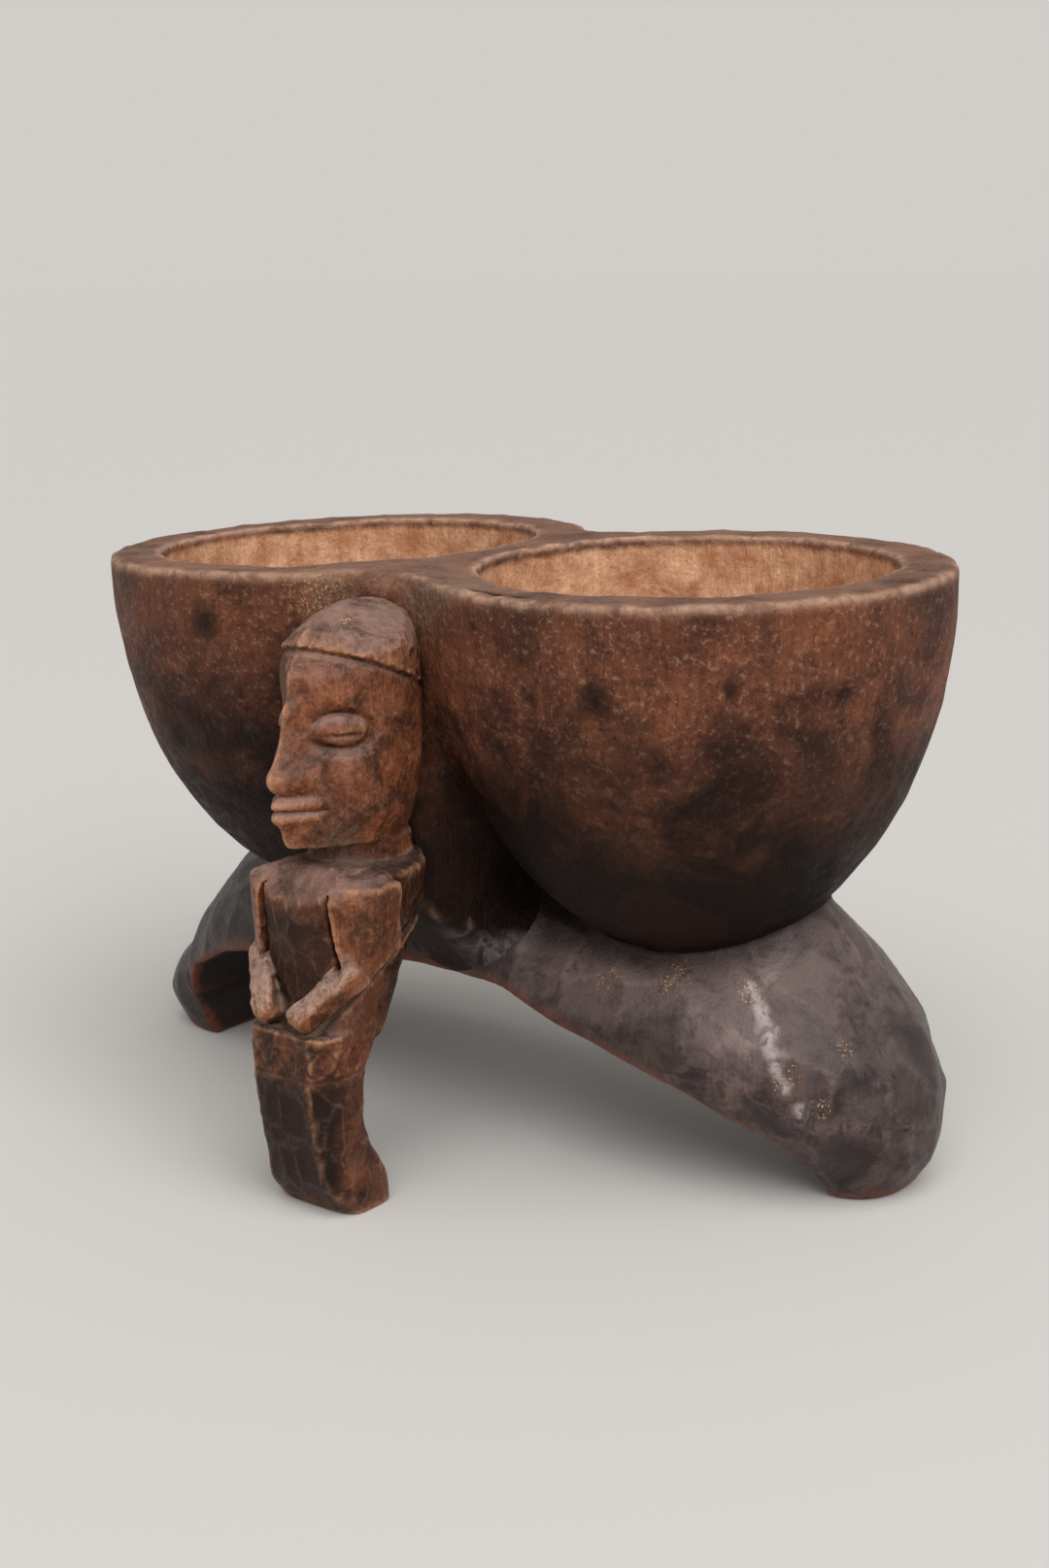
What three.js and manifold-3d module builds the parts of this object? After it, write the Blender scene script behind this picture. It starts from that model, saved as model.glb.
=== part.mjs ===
// Palm wine cup with two bowls, carved from one block of hardwood.
// Two deep bowls stand side by side and share a thin partition. A standing figure carries them at
// the front, and two broad flared legs carry them at the sides, so the cup rests on three soles.
// The block is divided here into its carved members, which meet along seams too narrow to see.
// Millimetres, +Z up, +X along the pair of bowls, and the figure looks along -Y.

import * as THREE from 'three';
import { mergeVertices } from 'three/addons/utils/BufferGeometryUtils.js';
import Module from 'manifold-3d';

const wasm = await Module();
wasm.setup();

// Overall sizes
const cupHeight = 129;
const seam = 0.3;

// Bowls
const bowlRadius = 55;
const bowlDepth = 82.5;
const wallThickness = 12;
const floorThickness = 13;
const partitionThickness = 8;
const leftRimFall = 2.2;
const rimOuterRound = 3.4;
const rimInnerRound = 2.6;

// Spine, the block of wood between the bowls that the figure leans on
const spineFront = -42;
const spineBack = 31;
const spineFootHalfWidth = 20;
const spineWaistHalfWidth = 13;
const spineRimHalfWidth = 22;
const spineRimDrop = 1.2;

// Side legs
const legHalfDepth = 36;
const legSoleHalfDepth = 12.5;
const legGrip = 15.5;
const legRootY = 7;
const legSquareness = 2.25;
const archWood = 7.5;

// How far out the rounded back of each leg stands at equal steps up from the ground to its root,
// and the hollow under it, from the crown of the arch out to the inner edge of the sole. The
// hollow's heights are shares of the crown's.
const legShapes = {
  right: {
    side: 1,
    soleY: 8.5,
    outline: [95, 100.5, 101, 98.8, 94, 87.5, 80.5, 72],
    arch: [[16, 0.98], [40, 0.82], [62, 0.6], [76, 0.385], [82, 0.155], [84, 0]],
  },
  left: {
    side: -1,
    soleY: 4,
    outline: [111, 115.5, 110.5, 103, 96.5, 89.5, 82.5, 74],
    arch: [[16, 0.995], [48, 0.925], [72, 0.77], [88, 0.565], [93, 0.255], [93, 0]],
  },
};

// The inner side of either leg at the same steps. The two lowest stand in from the edge of the sole,
// and the rest are distances from the middle of the cup, below zero where the root runs past it.
const legSoleInsets = [14, 30];
const legInnerSide = [30, 4, -16, -18, -6, 10];

// The depth of either leg at the steps above the sole, as shares of legHalfDepth.
const legDepthShares = [0.53, 0.76, 0.92, 1, 0.88, 0.62, 0.42];

// The step at which the leg has swung from over its sole to under its root
const legSwingStep = 3;

// Figure
const crownDrop = 4.5;
const hipShare = 0.305;
const shoulderShare = 0.586;
const neckHeight = 3.5;
const figureFront = -71;
const torsoHalfWidth = 12;
const hipSquareness = 3.4;
const kneeFront = -77;
const kneeDrop = 10;
const footFront = -73;
const footBack = -54;
const footHalfWidth = 11;
const footTop = 7;
const toeRound = 4;

// Arms
const armThickness = 5;
const armDepth = 21;
const armBedding = 3;
const elbowRise = 12;
const handDrop = 8.5;
const handGap = 4.2;
const handReach = 6;
const elbowSetBack = 14;

// Head and cap
const headHalfWidth = 13.5;
const faceRidge = 9;
const chinRound = 4;
const capOverhang = 1.4;
const capFrontDrop = 9;
const capBackDrop = 17.5;

// Face
const eyeShare = 0.5;
const noseShare = 0.25;
const mouthShare = 0.165;
const lipParting = 0.5;
const upperLip = 3.5;
const lowerLip = 4.1;
const lipHalfWidth = 9;
const lipStand = 5;
const lipRound = 2;
const eyeSpread = 7.4;
const eyeSetBack = 8.4;
const eyeSocketHollow = 0.9;
const eyelidInset = 1;
const eyeSocketHalf = new THREE.Vector3(7.2, 2.6, 4.6);
const eyelidHalf = new THREE.Vector3(6, 2.6, 3.3);

// How finely each shape is faceted
const facets = {
  bowl: { rings: 12, sides: 42, rimSteps: 3 },
  arch: { steps: 12 },
  leg: { levels: 18, sides: 36 },
  spine: { levels: 18, sides: 28 },
  lowerBody: { levels: 12, sides: 28 },
  torso: { levels: 15, sides: 32 },
  upperArm: { levels: 7, sides: 20 },
  forearm: { levels: 5, sides: 14 },
  head: { levels: 18, sides: 32 },
  lip: { levels: 4, sides: 20 },
  nose: { levels: 8, sides: 16 },
  eye: { across: 18, up: 10 },
  cap: { levels: 12, sides: 28 },
};

const wood = {
  bowl: new THREE.MeshStandardMaterial({ color: 0x6b4531, roughness: 0.62, metalness: 0 }),
  leg: new THREE.MeshStandardMaterial({ color: 0x5a4a44, roughness: 0.5, metalness: 0 }),
  figure: new THREE.MeshStandardMaterial({ color: 0x5e3a28, roughness: 0.48, metalness: 0 }),
};

// Places that follow from the sizes
const bowlX = bowlRadius - wallThickness + partitionThickness / 2;
const hollowRadius = bowlRadius - wallThickness;
const bowlShoulderZ = cupHeight - rimOuterRound;
const bowlBottomZ = cupHeight - bowlDepth;
const hollowFloorZ = bowlBottomZ + floorThickness;
const archCrown = bowlBottomZ - archWood;
const legRootHeight = bowlBottomZ + legGrip;
const crownHeight = cupHeight - crownDrop;
const hipHeight = crownHeight * hipShare;
const shoulderHeight = crownHeight * shoulderShare;
const chinHeight = shoulderHeight + neckHeight;
const headHeight = crownHeight - chinHeight;
const headBack = spineFront + 3;
const capFrontHeight = crownHeight - capFrontDrop;
const capBackHeight = crownHeight - capBackDrop;

// A closed body as a manifold solid.
function solidOf(geometry) {
  const bare = geometry.index ? geometry.toNonIndexed() : geometry.clone();
  bare.deleteAttribute('normal');
  bare.deleteAttribute('uv');
  const weldDistance = 1e-4;
  const merged = mergeVertices(bare, weldDistance);
  return new wasm.Manifold(
    new wasm.Mesh({
      numProp: 3,
      vertProperties: merged.attributes.position.array,
      triVerts: new Uint32Array(merged.index.array),
    }),
  );
}

// A named mesh from a manifold solid.
function meshOf(name, solid, material) {
  const made = solid.getMesh();
  const positions = new Float32Array(made.numVert * 3);
  for (let i = 0; i < made.numVert; i++) {
    positions.set(made.vertProperties.subarray(i * made.numProp, i * made.numProp + 3), i * 3);
  }
  const geometry = new THREE.BufferGeometry();
  geometry.setAttribute('position', new THREE.BufferAttribute(positions, 3));
  geometry.setIndex(new THREE.BufferAttribute(made.triVerts, 1));
  geometry.computeVertexNormals();
  const mesh = new THREE.Mesh(geometry, material);
  mesh.name = name;
  return mesh;
}

// The slope of a smooth course at a station, held back so that the course never overshoots. It is
// level at a high or low point, and otherwise at most three times the slope on either side.
function heldSlope(before, after) {
  if (before * after <= 0) return 0;
  const steepest = 3 * Math.min(Math.abs(before), Math.abs(after));
  return Math.sign(before) * Math.min(Math.abs(before + after) / 2, steepest);
}

// Reads a smooth course through stations that hold the same named sizes, at t from 0 to 1.
function along(stations, t) {
  const last = stations.length - 2;
  const span = Math.min(Math.floor(t * (stations.length - 1)), last);
  const u = t * (stations.length - 1) - span;
  const at = (i) => stations[Math.max(0, Math.min(stations.length - 1, i))];
  const out = {};
  for (const key of Object.keys(stations[0])) {
    const [a, b, c, d] = [at(span - 1)[key], at(span)[key], at(span + 1)[key], at(span + 2)[key]];
    const slopeIn = span === 0 ? c - b : heldSlope(b - a, c - b);
    const slopeOut = span === last ? c - b : heldSlope(c - b, d - c);
    const u2 = u * u;
    const u3 = u2 * u;
    const places = (2 * u3 - 3 * u2 + 1) * b + (3 * u2 - 2 * u3) * c;
    out[key] = places + (u3 - 2 * u2 + u) * slopeIn + (u3 - u2) * slopeOut;
  }
  return out;
}

// One level ring of a lofted member: a rounded outline about (x, y) at height z.
// squareness 2 is an ellipse, and higher values fill its corners.
// wedge draws the middle of the front out into a ridge.
function levelRing({ x, y, z, halfX, halfY, squareness, wedge }, sides, grow) {
  const ring = [];
  for (let i = 0; i < sides; i++) {
    const a = (2 * Math.PI * i) / sides;
    const fill = (v) => Math.sign(v) * Math.abs(v) ** (2 / squareness);
    const across = fill(Math.cos(a));
    const deep = fill(Math.sin(a));
    const ridge = deep < 0 ? wedge * deep * (1 - Math.abs(across)) : 0;
    ring.push(new THREE.Vector3(x + (halfX + grow) * across, y + (halfY + grow) * deep + ridge, z));
  }
  return ring;
}

// A closed body through rings of equal point counts, listed upwards and turning anticlockwise.
function loft(rings) {
  const sides = rings[0].length;
  const positions = [];
  for (const ring of rings) for (const p of ring) positions.push(p.x, p.y, p.z);
  const index = [];
  for (let r = 0; r + 1 < rings.length; r++) {
    for (let i = 0; i < sides; i++) {
      const a = r * sides + i;
      const b = r * sides + ((i + 1) % sides);
      index.push(a, b, b + sides, a, b + sides, a + sides);
    }
  }
  const close = (ring, first, flip) => {
    const centre = ring.reduce((sum, p) => sum.add(p), new THREE.Vector3()).divideScalar(sides);
    const hub = positions.length / 3;
    positions.push(centre.x, centre.y, centre.z);
    for (let i = 0; i < sides; i++) {
      const a = first + i;
      const b = first + ((i + 1) % sides);
      index.push(...(flip ? [hub, b, a] : [hub, a, b]));
    }
  };
  close(rings[0], 0, true);
  close(rings[rings.length - 1], (rings.length - 1) * sides, false);
  const geometry = new THREE.BufferGeometry();
  geometry.setAttribute('position', new THREE.Float32BufferAttribute(positions, 3));
  geometry.setIndex(index);
  return geometry;
}

// A solid lofted upwards through level stations, grown all round by grow.
function levelLoft(stations, { levels, sides }, grow = 0) {
  const rings = [];
  for (let i = 0; i <= levels; i++) {
    const station = { wedge: 0, ...along(stations, i / levels) };
    if (i === 0) station.z -= grow;
    if (i === levels) station.z += grow;
    rings.push(levelRing(station, sides, grow));
  }
  return solidOf(loft(rings));
}

// A level section given by its front and back. The ridge of its wedge stands at the front.
function section({ z, front, back, halfX, squareness, wedge = 0 }) {
  const flatFront = front + wedge;
  return { x: 0, y: (flatFront + back) / 2, z, halfX, halfY: (back - flatFront) / 2, squareness, wedge };
}

// A box between two corners.
function boxSolid(low, high) {
  const size = new THREE.Vector3().subVectors(high, low);
  const geometry = new THREE.BoxGeometry(size.x, size.y, size.z);
  geometry.translate((low.x + high.x) / 2, (low.y + high.y) / 2, (low.z + high.z) / 2);
  return solidOf(geometry);
}

// An ellipsoid, turned about Z and then set at its place.
function ellipsoid(centre, half, turn, { across, up }) {
  const geometry = new THREE.SphereGeometry(1, across, up);
  geometry.rotateX(Math.PI / 2);
  geometry.scale(half.x, half.y, half.z);
  geometry.rotateZ(turn);
  geometry.translate(centre.x, centre.y, centre.z);
  return solidOf(geometry);
}

// Reaches past the cup on every side.
const everywhere = 400;

// Keeps the side of the block on which side * x is positive.
function halfBlock(side) {
  return boxSolid(
    new THREE.Vector3(side > 0 ? 0 : -everywhere, -everywhere, -everywhere),
    new THREE.Vector3(side > 0 ? everywhere : 0, everywhere, everywhere),
  );
}

// Turns a profile of (radius, height) pairs about the bowl's upright axis.
// The left bowl leans, so that its outer rim stands a little lower.
function turned(profile, side) {
  const { sides } = facets.bowl;
  const geometry = new THREE.LatheGeometry(profile, sides);
  geometry.rotateX(Math.PI / 2);
  geometry.rotateZ(Math.PI / sides);
  geometry.translate(side * bowlX, 0, 0);
  const lean = side < 0 ? leftRimFall / (bowlX + bowlRadius) : 0;
  geometry.applyMatrix4(new THREE.Matrix4().set(
    1, 0, 0, 0,
    0, 1, 0, 0,
    lean, 0, 1, 0,
    0, 0, 0, 1,
  ));
  return solidOf(geometry);
}

// A quarter oval from the axis at its lowest point out to its widest.
function ovalProfile(radius, bottomZ, topZ) {
  const { rings } = facets.bowl;
  const profile = [];
  for (let i = 0; i <= rings; i++) {
    const a = (Math.PI / 2) * (i / rings);
    profile.push(new THREE.Vector2(radius * Math.sin(a), topZ - (topZ - bottomZ) * Math.cos(a)));
  }
  return profile;
}

// The bowl's outside as a solid body, with no hollow, for cutting the members that meet it.
function bowlCutter(side) {
  const outside = ovalProfile(bowlRadius + seam, bowlBottomZ - seam, bowlShoulderZ);
  const top = cupHeight + bowlRadius;
  return turned([...outside, new THREE.Vector2(bowlRadius + seam, top), new THREE.Vector2(0, top)], side);
}

// A bowl: an oval-bottomed shell with a rounded rim, cut off at the middle of the partition.
function bowl(side) {
  const { rimSteps } = facets.bowl;
  const hollowTopZ = cupHeight - rimInnerRound;
  const outside = ovalProfile(bowlRadius, bowlBottomZ, bowlShoulderZ);
  const inside = ovalProfile(hollowRadius, hollowFloorZ, hollowTopZ);
  const rim = [];
  for (let i = 1; i <= rimSteps; i++) {
    const a = (Math.PI / 2) * (i / rimSteps);
    rim.push(new THREE.Vector2(
      bowlRadius - rimOuterRound * (1 - Math.cos(a)),
      bowlShoulderZ + rimOuterRound * Math.sin(a),
    ));
  }
  for (let i = 0; i < rimSteps; i++) {
    const a = (Math.PI / 2) * (i / rimSteps);
    rim.push(new THREE.Vector2(
      hollowRadius + rimInnerRound * (1 - Math.sin(a)),
      cupHeight - rimInnerRound * (1 - Math.cos(a)),
    ));
  }
  return turned([...outside, ...rim, ...inside.reverse()], side).intersect(halfBlock(side));
}

const bothBowls = bowlCutter(1).add(bowlCutter(-1));

// The arch under the cup, as a block that the legs are cut by: the same outline all along Y.
function archCutter() {
  const curve = ({ side, arch }) => new THREE.SplineCurve(
    arch.map(([x, share]) => new THREE.Vector2(side * x, share * archCrown)),
  ).getPoints(facets.arch.steps);
  const right = curve(legShapes.right);
  const left = curve(legShapes.left);
  const outline = new THREE.Shape([
    new THREE.Vector2(left.at(-1).x, -archCrown),
    new THREE.Vector2(right.at(-1).x, -archCrown),
    ...[...right].reverse(),
    new THREE.Vector2(0, archCrown),
    ...left,
  ]);
  const geometry = new THREE.ExtrudeGeometry(outline, { depth: 2 * everywhere, bevelEnabled: false });
  geometry.rotateX(Math.PI / 2);
  geometry.translate(0, everywhere, 0);
  return solidOf(geometry);
}

// A side leg: a flared petal under one bowl, rounded at its end, flat on its sole.
function legBody({ side, soleY, outline, arch }, grow = 0) {
  const soleInner = arch.at(-1)[0];
  const innerSide = [...legSoleInsets.map((inset) => soleInner - inset), ...legInnerSide];
  const halfDepths = [legSoleHalfDepth, ...legDepthShares.map((share) => legHalfDepth * share)];
  const step = legRootHeight / (outline.length - 1);
  const stations = outline.map((outer, i) => ({
    x: side * (innerSide[i] + outer) / 2,
    y: soleY + (legRootY - soleY) * Math.min(1, i / legSwingStep),
    z: i * step,
    halfX: (outer - innerSide[i]) / 2,
    halfY: halfDepths[i],
    squareness: legSquareness,
  }));
  return levelLoft(stations, facets.leg, grow);
}

function leg(shape) {
  return legBody(shape)
    .intersect(halfBlock(shape.side))
    .subtract(archCutter())
    .subtract(bothBowls);
}

// The spine: broad at the foot, narrow behind the figure's back, broad again at the rim.
// A station's rise, front and back are shares of the spine's height and of its reach each way.
function spineBody(grow = 0) {
  const height = cupHeight - spineRimDrop - archCrown;
  const foot = spineFootHalfWidth;
  const waist = spineWaistHalfWidth;
  const rim = spineRimHalfWidth;
  const stations = [
    { rise: 0, front: 0.43, back: 0.84, halfX: foot, squareness: 2.6 },
    { rise: 0.125, front: 0.81, back: 0.94, halfX: foot * 0.9, squareness: 2.8 },
    { rise: 0.25, front: 1, back: 1, halfX: waist, squareness: 3.2 },
    { rise: 0.44, front: 1, back: 1, halfX: waist, squareness: 3.4 },
    { rise: 0.69, front: 1, back: 1, halfX: waist * 1.23, squareness: 3.4 },
    { rise: 0.93, front: 1.01, back: 1.03, halfX: rim, squareness: 3.4 },
    { rise: 1, front: 0.965, back: 0.97, halfX: rim * 0.91, squareness: 3.2 },
  ].map(({ rise, front, back, halfX, squareness }) => section({
    z: archCrown + height * rise,
    front: spineFront * front,
    back: spineBack * back,
    halfX,
    squareness,
  }));
  return levelLoft(stations, facets.spine, grow);
}

const bothLegs = legBody(legShapes.right, seam).add(legBody(legShapes.left, seam));

function spine() {
  return spineBody().subtract(bothBowls).subtract(bothLegs);
}

// Everything of the cup that the figure leans against.
const backing = bothBowls.add(spineBody(seam));

// The level at which the lower body and the torso meet.
const hip = {
  z: hipHeight,
  front: kneeFront + 1,
  back: footBack - 1,
  halfX: torsoHalfWidth - 0.2,
  squareness: hipSquareness,
};

// The lower body: hips, bent knees and one foot, all in a single post.
function lowerBody(grow = 0) {
  const kneeZ = hipHeight - kneeDrop;
  const ankle = footBack - 1;
  const wide = footHalfWidth;
  const stations = [
    { z: 0, front: footFront + toeRound, back: ankle, halfX: wide, squareness: 3 },
    { z: footTop, front: footFront - 0.5, back: ankle, halfX: wide + 0.6, squareness: 3.2 },
    { z: kneeZ * 0.6, front: kneeFront + 1.5, back: footBack - 5, halfX: wide - 0.2, squareness: 3.4 },
    { z: kneeZ, front: kneeFront, back: footBack - 7, halfX: wide + 0.4, squareness: hipSquareness },
    hip,
  ].map(section);
  return levelLoft(stations, facets.lowerBody, grow);
}

// The torso: a belly that stands forward, a flat chest and square shoulders against the spine.
function torsoBody(grow = 0) {
  const back = spineFront - seam;
  const wide = torsoHalfWidth;
  const front = figureFront;
  const stations = [
    hip,
    { z: hipHeight + 8, front: front - 4, back: back - 1.5, halfX: wide, squareness: 3.2, wedge: 1 },
    { z: hipHeight + 17, front: front - 2, back, halfX: wide + 0.6, squareness: 3.2, wedge: 1 },
    { z: shoulderHeight - 9, front: front - 1, back, halfX: wide + 1, squareness: 3.6, wedge: 1 },
    { z: shoulderHeight - 2, front: front - 1, back, halfX: wide + 2, squareness: 3.8, wedge: 1 },
    { z: shoulderHeight, front: front + 2.5, back, halfX: wide + 1, squareness: 3.4, wedge: 1 },
  ].map(section);
  return levelLoft(stations, facets.torso, grow);
}

// An arm: a flat upper arm along the torso's side and a forearm that comes forward to the belly.
function armBody(side, grow = 0) {
  const outer = torsoHalfWidth + armThickness;
  const inner = torsoHalfWidth - armBedding;
  const middle = side * (outer + inner) / 2;
  const half = (outer - inner) / 2;
  const shoulder = shoulderHeight - 1;
  const elbow = hipHeight + elbowRise;
  const front = figureFront + 2;
  const back = figureFront + armDepth;
  const upper = [
    { z: elbow - 1, front: front + 2, back: back - 3, halfX: half - 1.4, squareness: 2.6 },
    { z: elbow + 4, front, back, halfX: half - 0.4, squareness: 3 },
    { z: shoulder - 8, front, back: back + 1, halfX: half, squareness: 3.2 },
    { z: shoulder, front: front + 1, back: back - 1, halfX: half - 0.8, squareness: 3 },
  ].map((station) => ({ ...section(station), x: middle }));
  const elbowAt = new THREE.Vector3(middle, figureFront + elbowSetBack, elbow + 3);
  const handAt = new THREE.Vector3(side * handGap, figureFront - handReach, elbow - handDrop);
  const course = new THREE.Vector3().subVectors(handAt, elbowAt);
  const length = course.length();
  const forearm = levelLoft([
    { x: 0, y: 0, z: 0, halfX: 3.6, halfY: 4.4, squareness: 2.6 },
    { x: 0, y: 0, z: length * 0.6, halfX: 3.3, halfY: 3.8, squareness: 2.8 },
    { x: 0, y: 0, z: length, halfX: 2.8, halfY: 3.2, squareness: 2.4 },
  ], facets.forearm, grow);
  const turn = new THREE.Matrix4().compose(
    elbowAt,
    new THREE.Quaternion().setFromUnitVectors(new THREE.Vector3(0, 0, 1), course.normalize()),
    new THREE.Vector3(1, 1, 1),
  );
  return levelLoft(upper, facets.upperArm, grow).add(forearm.transform(turn.elements));
}

// The head without its cap. Two cheek planes meet in a ridge down the middle of the face.
function headBody() {
  const front = figureFront;
  const back = headBack;
  const wide = headHalfWidth;
  const neck = wide - chinRound;
  const ridge = faceRidge;
  const up = (share) => chinHeight + headHeight * share;
  const stations = [
    { z: shoulderHeight - 2, front: front + 9, back, halfX: neck, squareness: 2.6, wedge: 2 },
    { z: chinHeight - 1, front: front + 8, back, halfX: neck, squareness: 2.6, wedge: 3 },
    { z: chinHeight + 1, front: front - 2, back, halfX: neck, squareness: 2.4, wedge: ridge - 1 },
    { z: up(0.14), front: front - 2, back, halfX: wide - 1.6, squareness: 2.8, wedge: ridge + 1 },
    { z: up(0.32), front, back, halfX: wide - 0.3, squareness: 3.2, wedge: ridge },
    { z: up(0.5), front: front + 1.5, back, halfX: wide, squareness: 3.4, wedge: ridge },
    { z: up(0.68), front: front + 1.5, back, halfX: wide, squareness: 3.4, wedge: ridge },
    { z: up(0.82), front: front + 4, back, halfX: wide - 0.4, squareness: 3, wedge: ridge - 1 },
    { z: crownHeight - 4, front: front + 12, back, halfX: wide - 3, squareness: 2.4, wedge: ridge / 2 },
  ].map(section);
  return levelLoft(stations, facets.head);
}

// One lip between two heights, rounded from above and below.
function lip(low, high) {
  const front = figureFront - lipStand;
  const wide = lipHalfWidth;
  const shape = { back: spineFront, squareness: 2.8, wedge: faceRidge - 1 };
  const stations = [
    { z: low, front: front + lipRound, halfX: wide - 1.4, ...shape },
    { z: (low + high) / 2, front, halfX: wide, ...shape },
    { z: high, front: front + lipRound, halfX: wide - 1.4, ...shape },
  ].map(section);
  return levelLoft(stations, facets.lip);
}

// A straight nose that broadens to its wings and runs up between the brows.
function nose(tipZ, browZ) {
  const front = figureFront;
  const shape = { back: spineFront, squareness: 2.6 };
  const stations = [
    { z: tipZ, front: front - 3.4, halfX: 4.4, wedge: 3.2, ...shape },
    { z: tipZ + 3, front: front - 5.6, halfX: 4.6, wedge: 3.6, ...shape },
    { z: tipZ + 7.5, front: front - 2.8, halfX: 3.2, wedge: 2.6, ...shape },
    { z: browZ - 5, front: front - 0.6, halfX: 2.4, wedge: 2, ...shape },
    { z: browZ, front: front - 0.8, halfX: 2.6, wedge: 2, ...shape },
  ].map(section);
  return levelLoft(stations, facets.nose);
}

// The face on its skull: full closed lips, a straight nose and closed eyes halfway up the head.
function faceRelief(skull) {
  const eyeZ = chinHeight + headHeight * eyeShare;
  const noseZ = chinHeight + headHeight * noseShare;
  const mouthZ = chinHeight + headHeight * mouthShare;
  let carved = skull
    .add(lip(mouthZ + lipParting, mouthZ + lipParting + upperLip))
    .add(lip(mouthZ - lipParting - lowerLip, mouthZ - lipParting));
  for (const side of [1, -1]) {
    const turn = side * Math.PI / 4;
    const into = new THREE.Vector3(-side, 1, 0).normalize();
    const onCheek = new THREE.Vector3(side * eyeSpread, figureFront + eyeSetBack, eyeZ);
    const socketAt = onCheek.clone().addScaledVector(into, -eyeSocketHollow);
    const eyelidAt = onCheek.clone().addScaledVector(into, eyelidInset);
    carved = carved
      .subtract(ellipsoid(socketAt, eyeSocketHalf, turn, facets.eye))
      .add(ellipsoid(eyelidAt, eyelidHalf, turn, facets.eye));
  }
  return carved.add(nose(noseZ, eyeZ + eyeSocketHalf.x));
}

// Keeps what lies above the cap's edge, which drops from the forehead to the back of the head.
function aboveCapEdge(lift) {
  const block = new THREE.BoxGeometry(everywhere, everywhere, everywhere);
  block.translate(0, 0, everywhere / 2 + lift);
  block.rotateX(-Math.atan2(capFrontHeight - capBackHeight, spineFront - figureFront));
  block.translate(0, figureFront, capFrontHeight);
  return solidOf(block);
}

// The close cap: an egg-shaped crown that stands out a little over the temples and slopes back from
// the forehead, narrow in front and broad behind.
function cap() {
  const wide = headHalfWidth + capOverhang;
  const front = figureFront + 5 - capOverhang;
  const back = headBack;
  const ridge = faceRidge;
  const up = (share) => capBackHeight + (crownHeight - capBackHeight) * share;
  const stations = [
    { z: capBackHeight - 4, front, back, halfX: wide, squareness: 3.2, wedge: ridge - 3.5 },
    { z: up(0.4), front, back, halfX: wide, squareness: 3, wedge: ridge - 3 },
    { z: up(0.58), front: front + 0.4, back, halfX: wide - 0.6, squareness: 2.8, wedge: ridge - 1 },
    { z: up(0.73), front: front + 3.2, back, halfX: wide - 2, squareness: 2.5, wedge: ridge + 1 },
    { z: up(0.87), front: front + 7.4, back, halfX: wide - 4.5, squareness: 2.3, wedge: ridge },
    { z: up(1), front: front + 14, back: back - 1, halfX: wide - 8.5, squareness: 2.2, wedge: 3 },
  ].map(section);
  return levelLoft(stations, facets.cap).intersect(aboveCapEdge(0)).subtract(backing);
}

function head() {
  return faceRelief(headBody())
    .subtract(aboveCapEdge(-seam))
    .subtract(torsoBody(seam))
    .subtract(backing);
}

function torso() {
  return torsoBody()
    .subtract(armBody(1, seam))
    .subtract(armBody(-1, seam))
    .subtract(backing);
}

// One arm, stopped short of the middle so that the two hands stay apart by twice the seam.
function arm(side) {
  const middleGap = boxSolid(
    new THREE.Vector3(-seam, -everywhere, -everywhere),
    new THREE.Vector3(seam, everywhere, everywhere),
  );
  return armBody(side)
    .intersect(halfBlock(side))
    .subtract(middleGap)
    .subtract(lowerBody(seam))
    .subtract(backing);
}

// The largest single body of a solid, without the slivers that a cut can leave behind.
function largestBody(solid) {
  return solid.decompose().sort((a, b) => b.volume() - a.volume())[0];
}

const cup = new THREE.Group();
cup.add(
  meshOf('bowl_right', bowl(1), wood.bowl),
  meshOf('bowl_left', bowl(-1), wood.bowl),
  meshOf('spine', largestBody(spine()), wood.bowl),
  meshOf('leg_right', largestBody(leg(legShapes.right)), wood.leg),
  meshOf('leg_left', largestBody(leg(legShapes.left)), wood.leg),
  meshOf('figure_lower_body', largestBody(lowerBody()), wood.figure),
  meshOf('figure_torso', largestBody(torso()), wood.figure),
  meshOf('figure_arm_right', largestBody(arm(-1)), wood.figure),
  meshOf('figure_arm_left', largestBody(arm(1)), wood.figure),
  meshOf('figure_head', largestBody(head()), wood.figure),
  meshOf('figure_cap', largestBody(cap()), wood.figure),
);

// The origin is on the ground under the middle of the cup's outer box.
const extent = new THREE.Box3().setFromObject(cup);
const middle = extent.getCenter(new THREE.Vector3());
cup.position.set(-middle.x, -middle.y, -extent.min.z);

export default cup;
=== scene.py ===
"""A palm wine cup with twin bowls, carved from one block of hardwood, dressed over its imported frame.

The cup is carved here as it was at the bench: each member is a solid form in millimetres, the forms
are blended where the wood runs on, adze cuts are taken off the surface, and the block is then meshed
member by member. What the surface knows about itself, its ridges, its creases and the inside of the
bowls, goes into attributes that the wood's patina reads.
"""

from __future__ import annotations

import logging
import math
from dataclasses import dataclass
from enum import Enum
from itertools import product

import bpy
import numpy as np
from mathutils import Matrix, Vector

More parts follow.
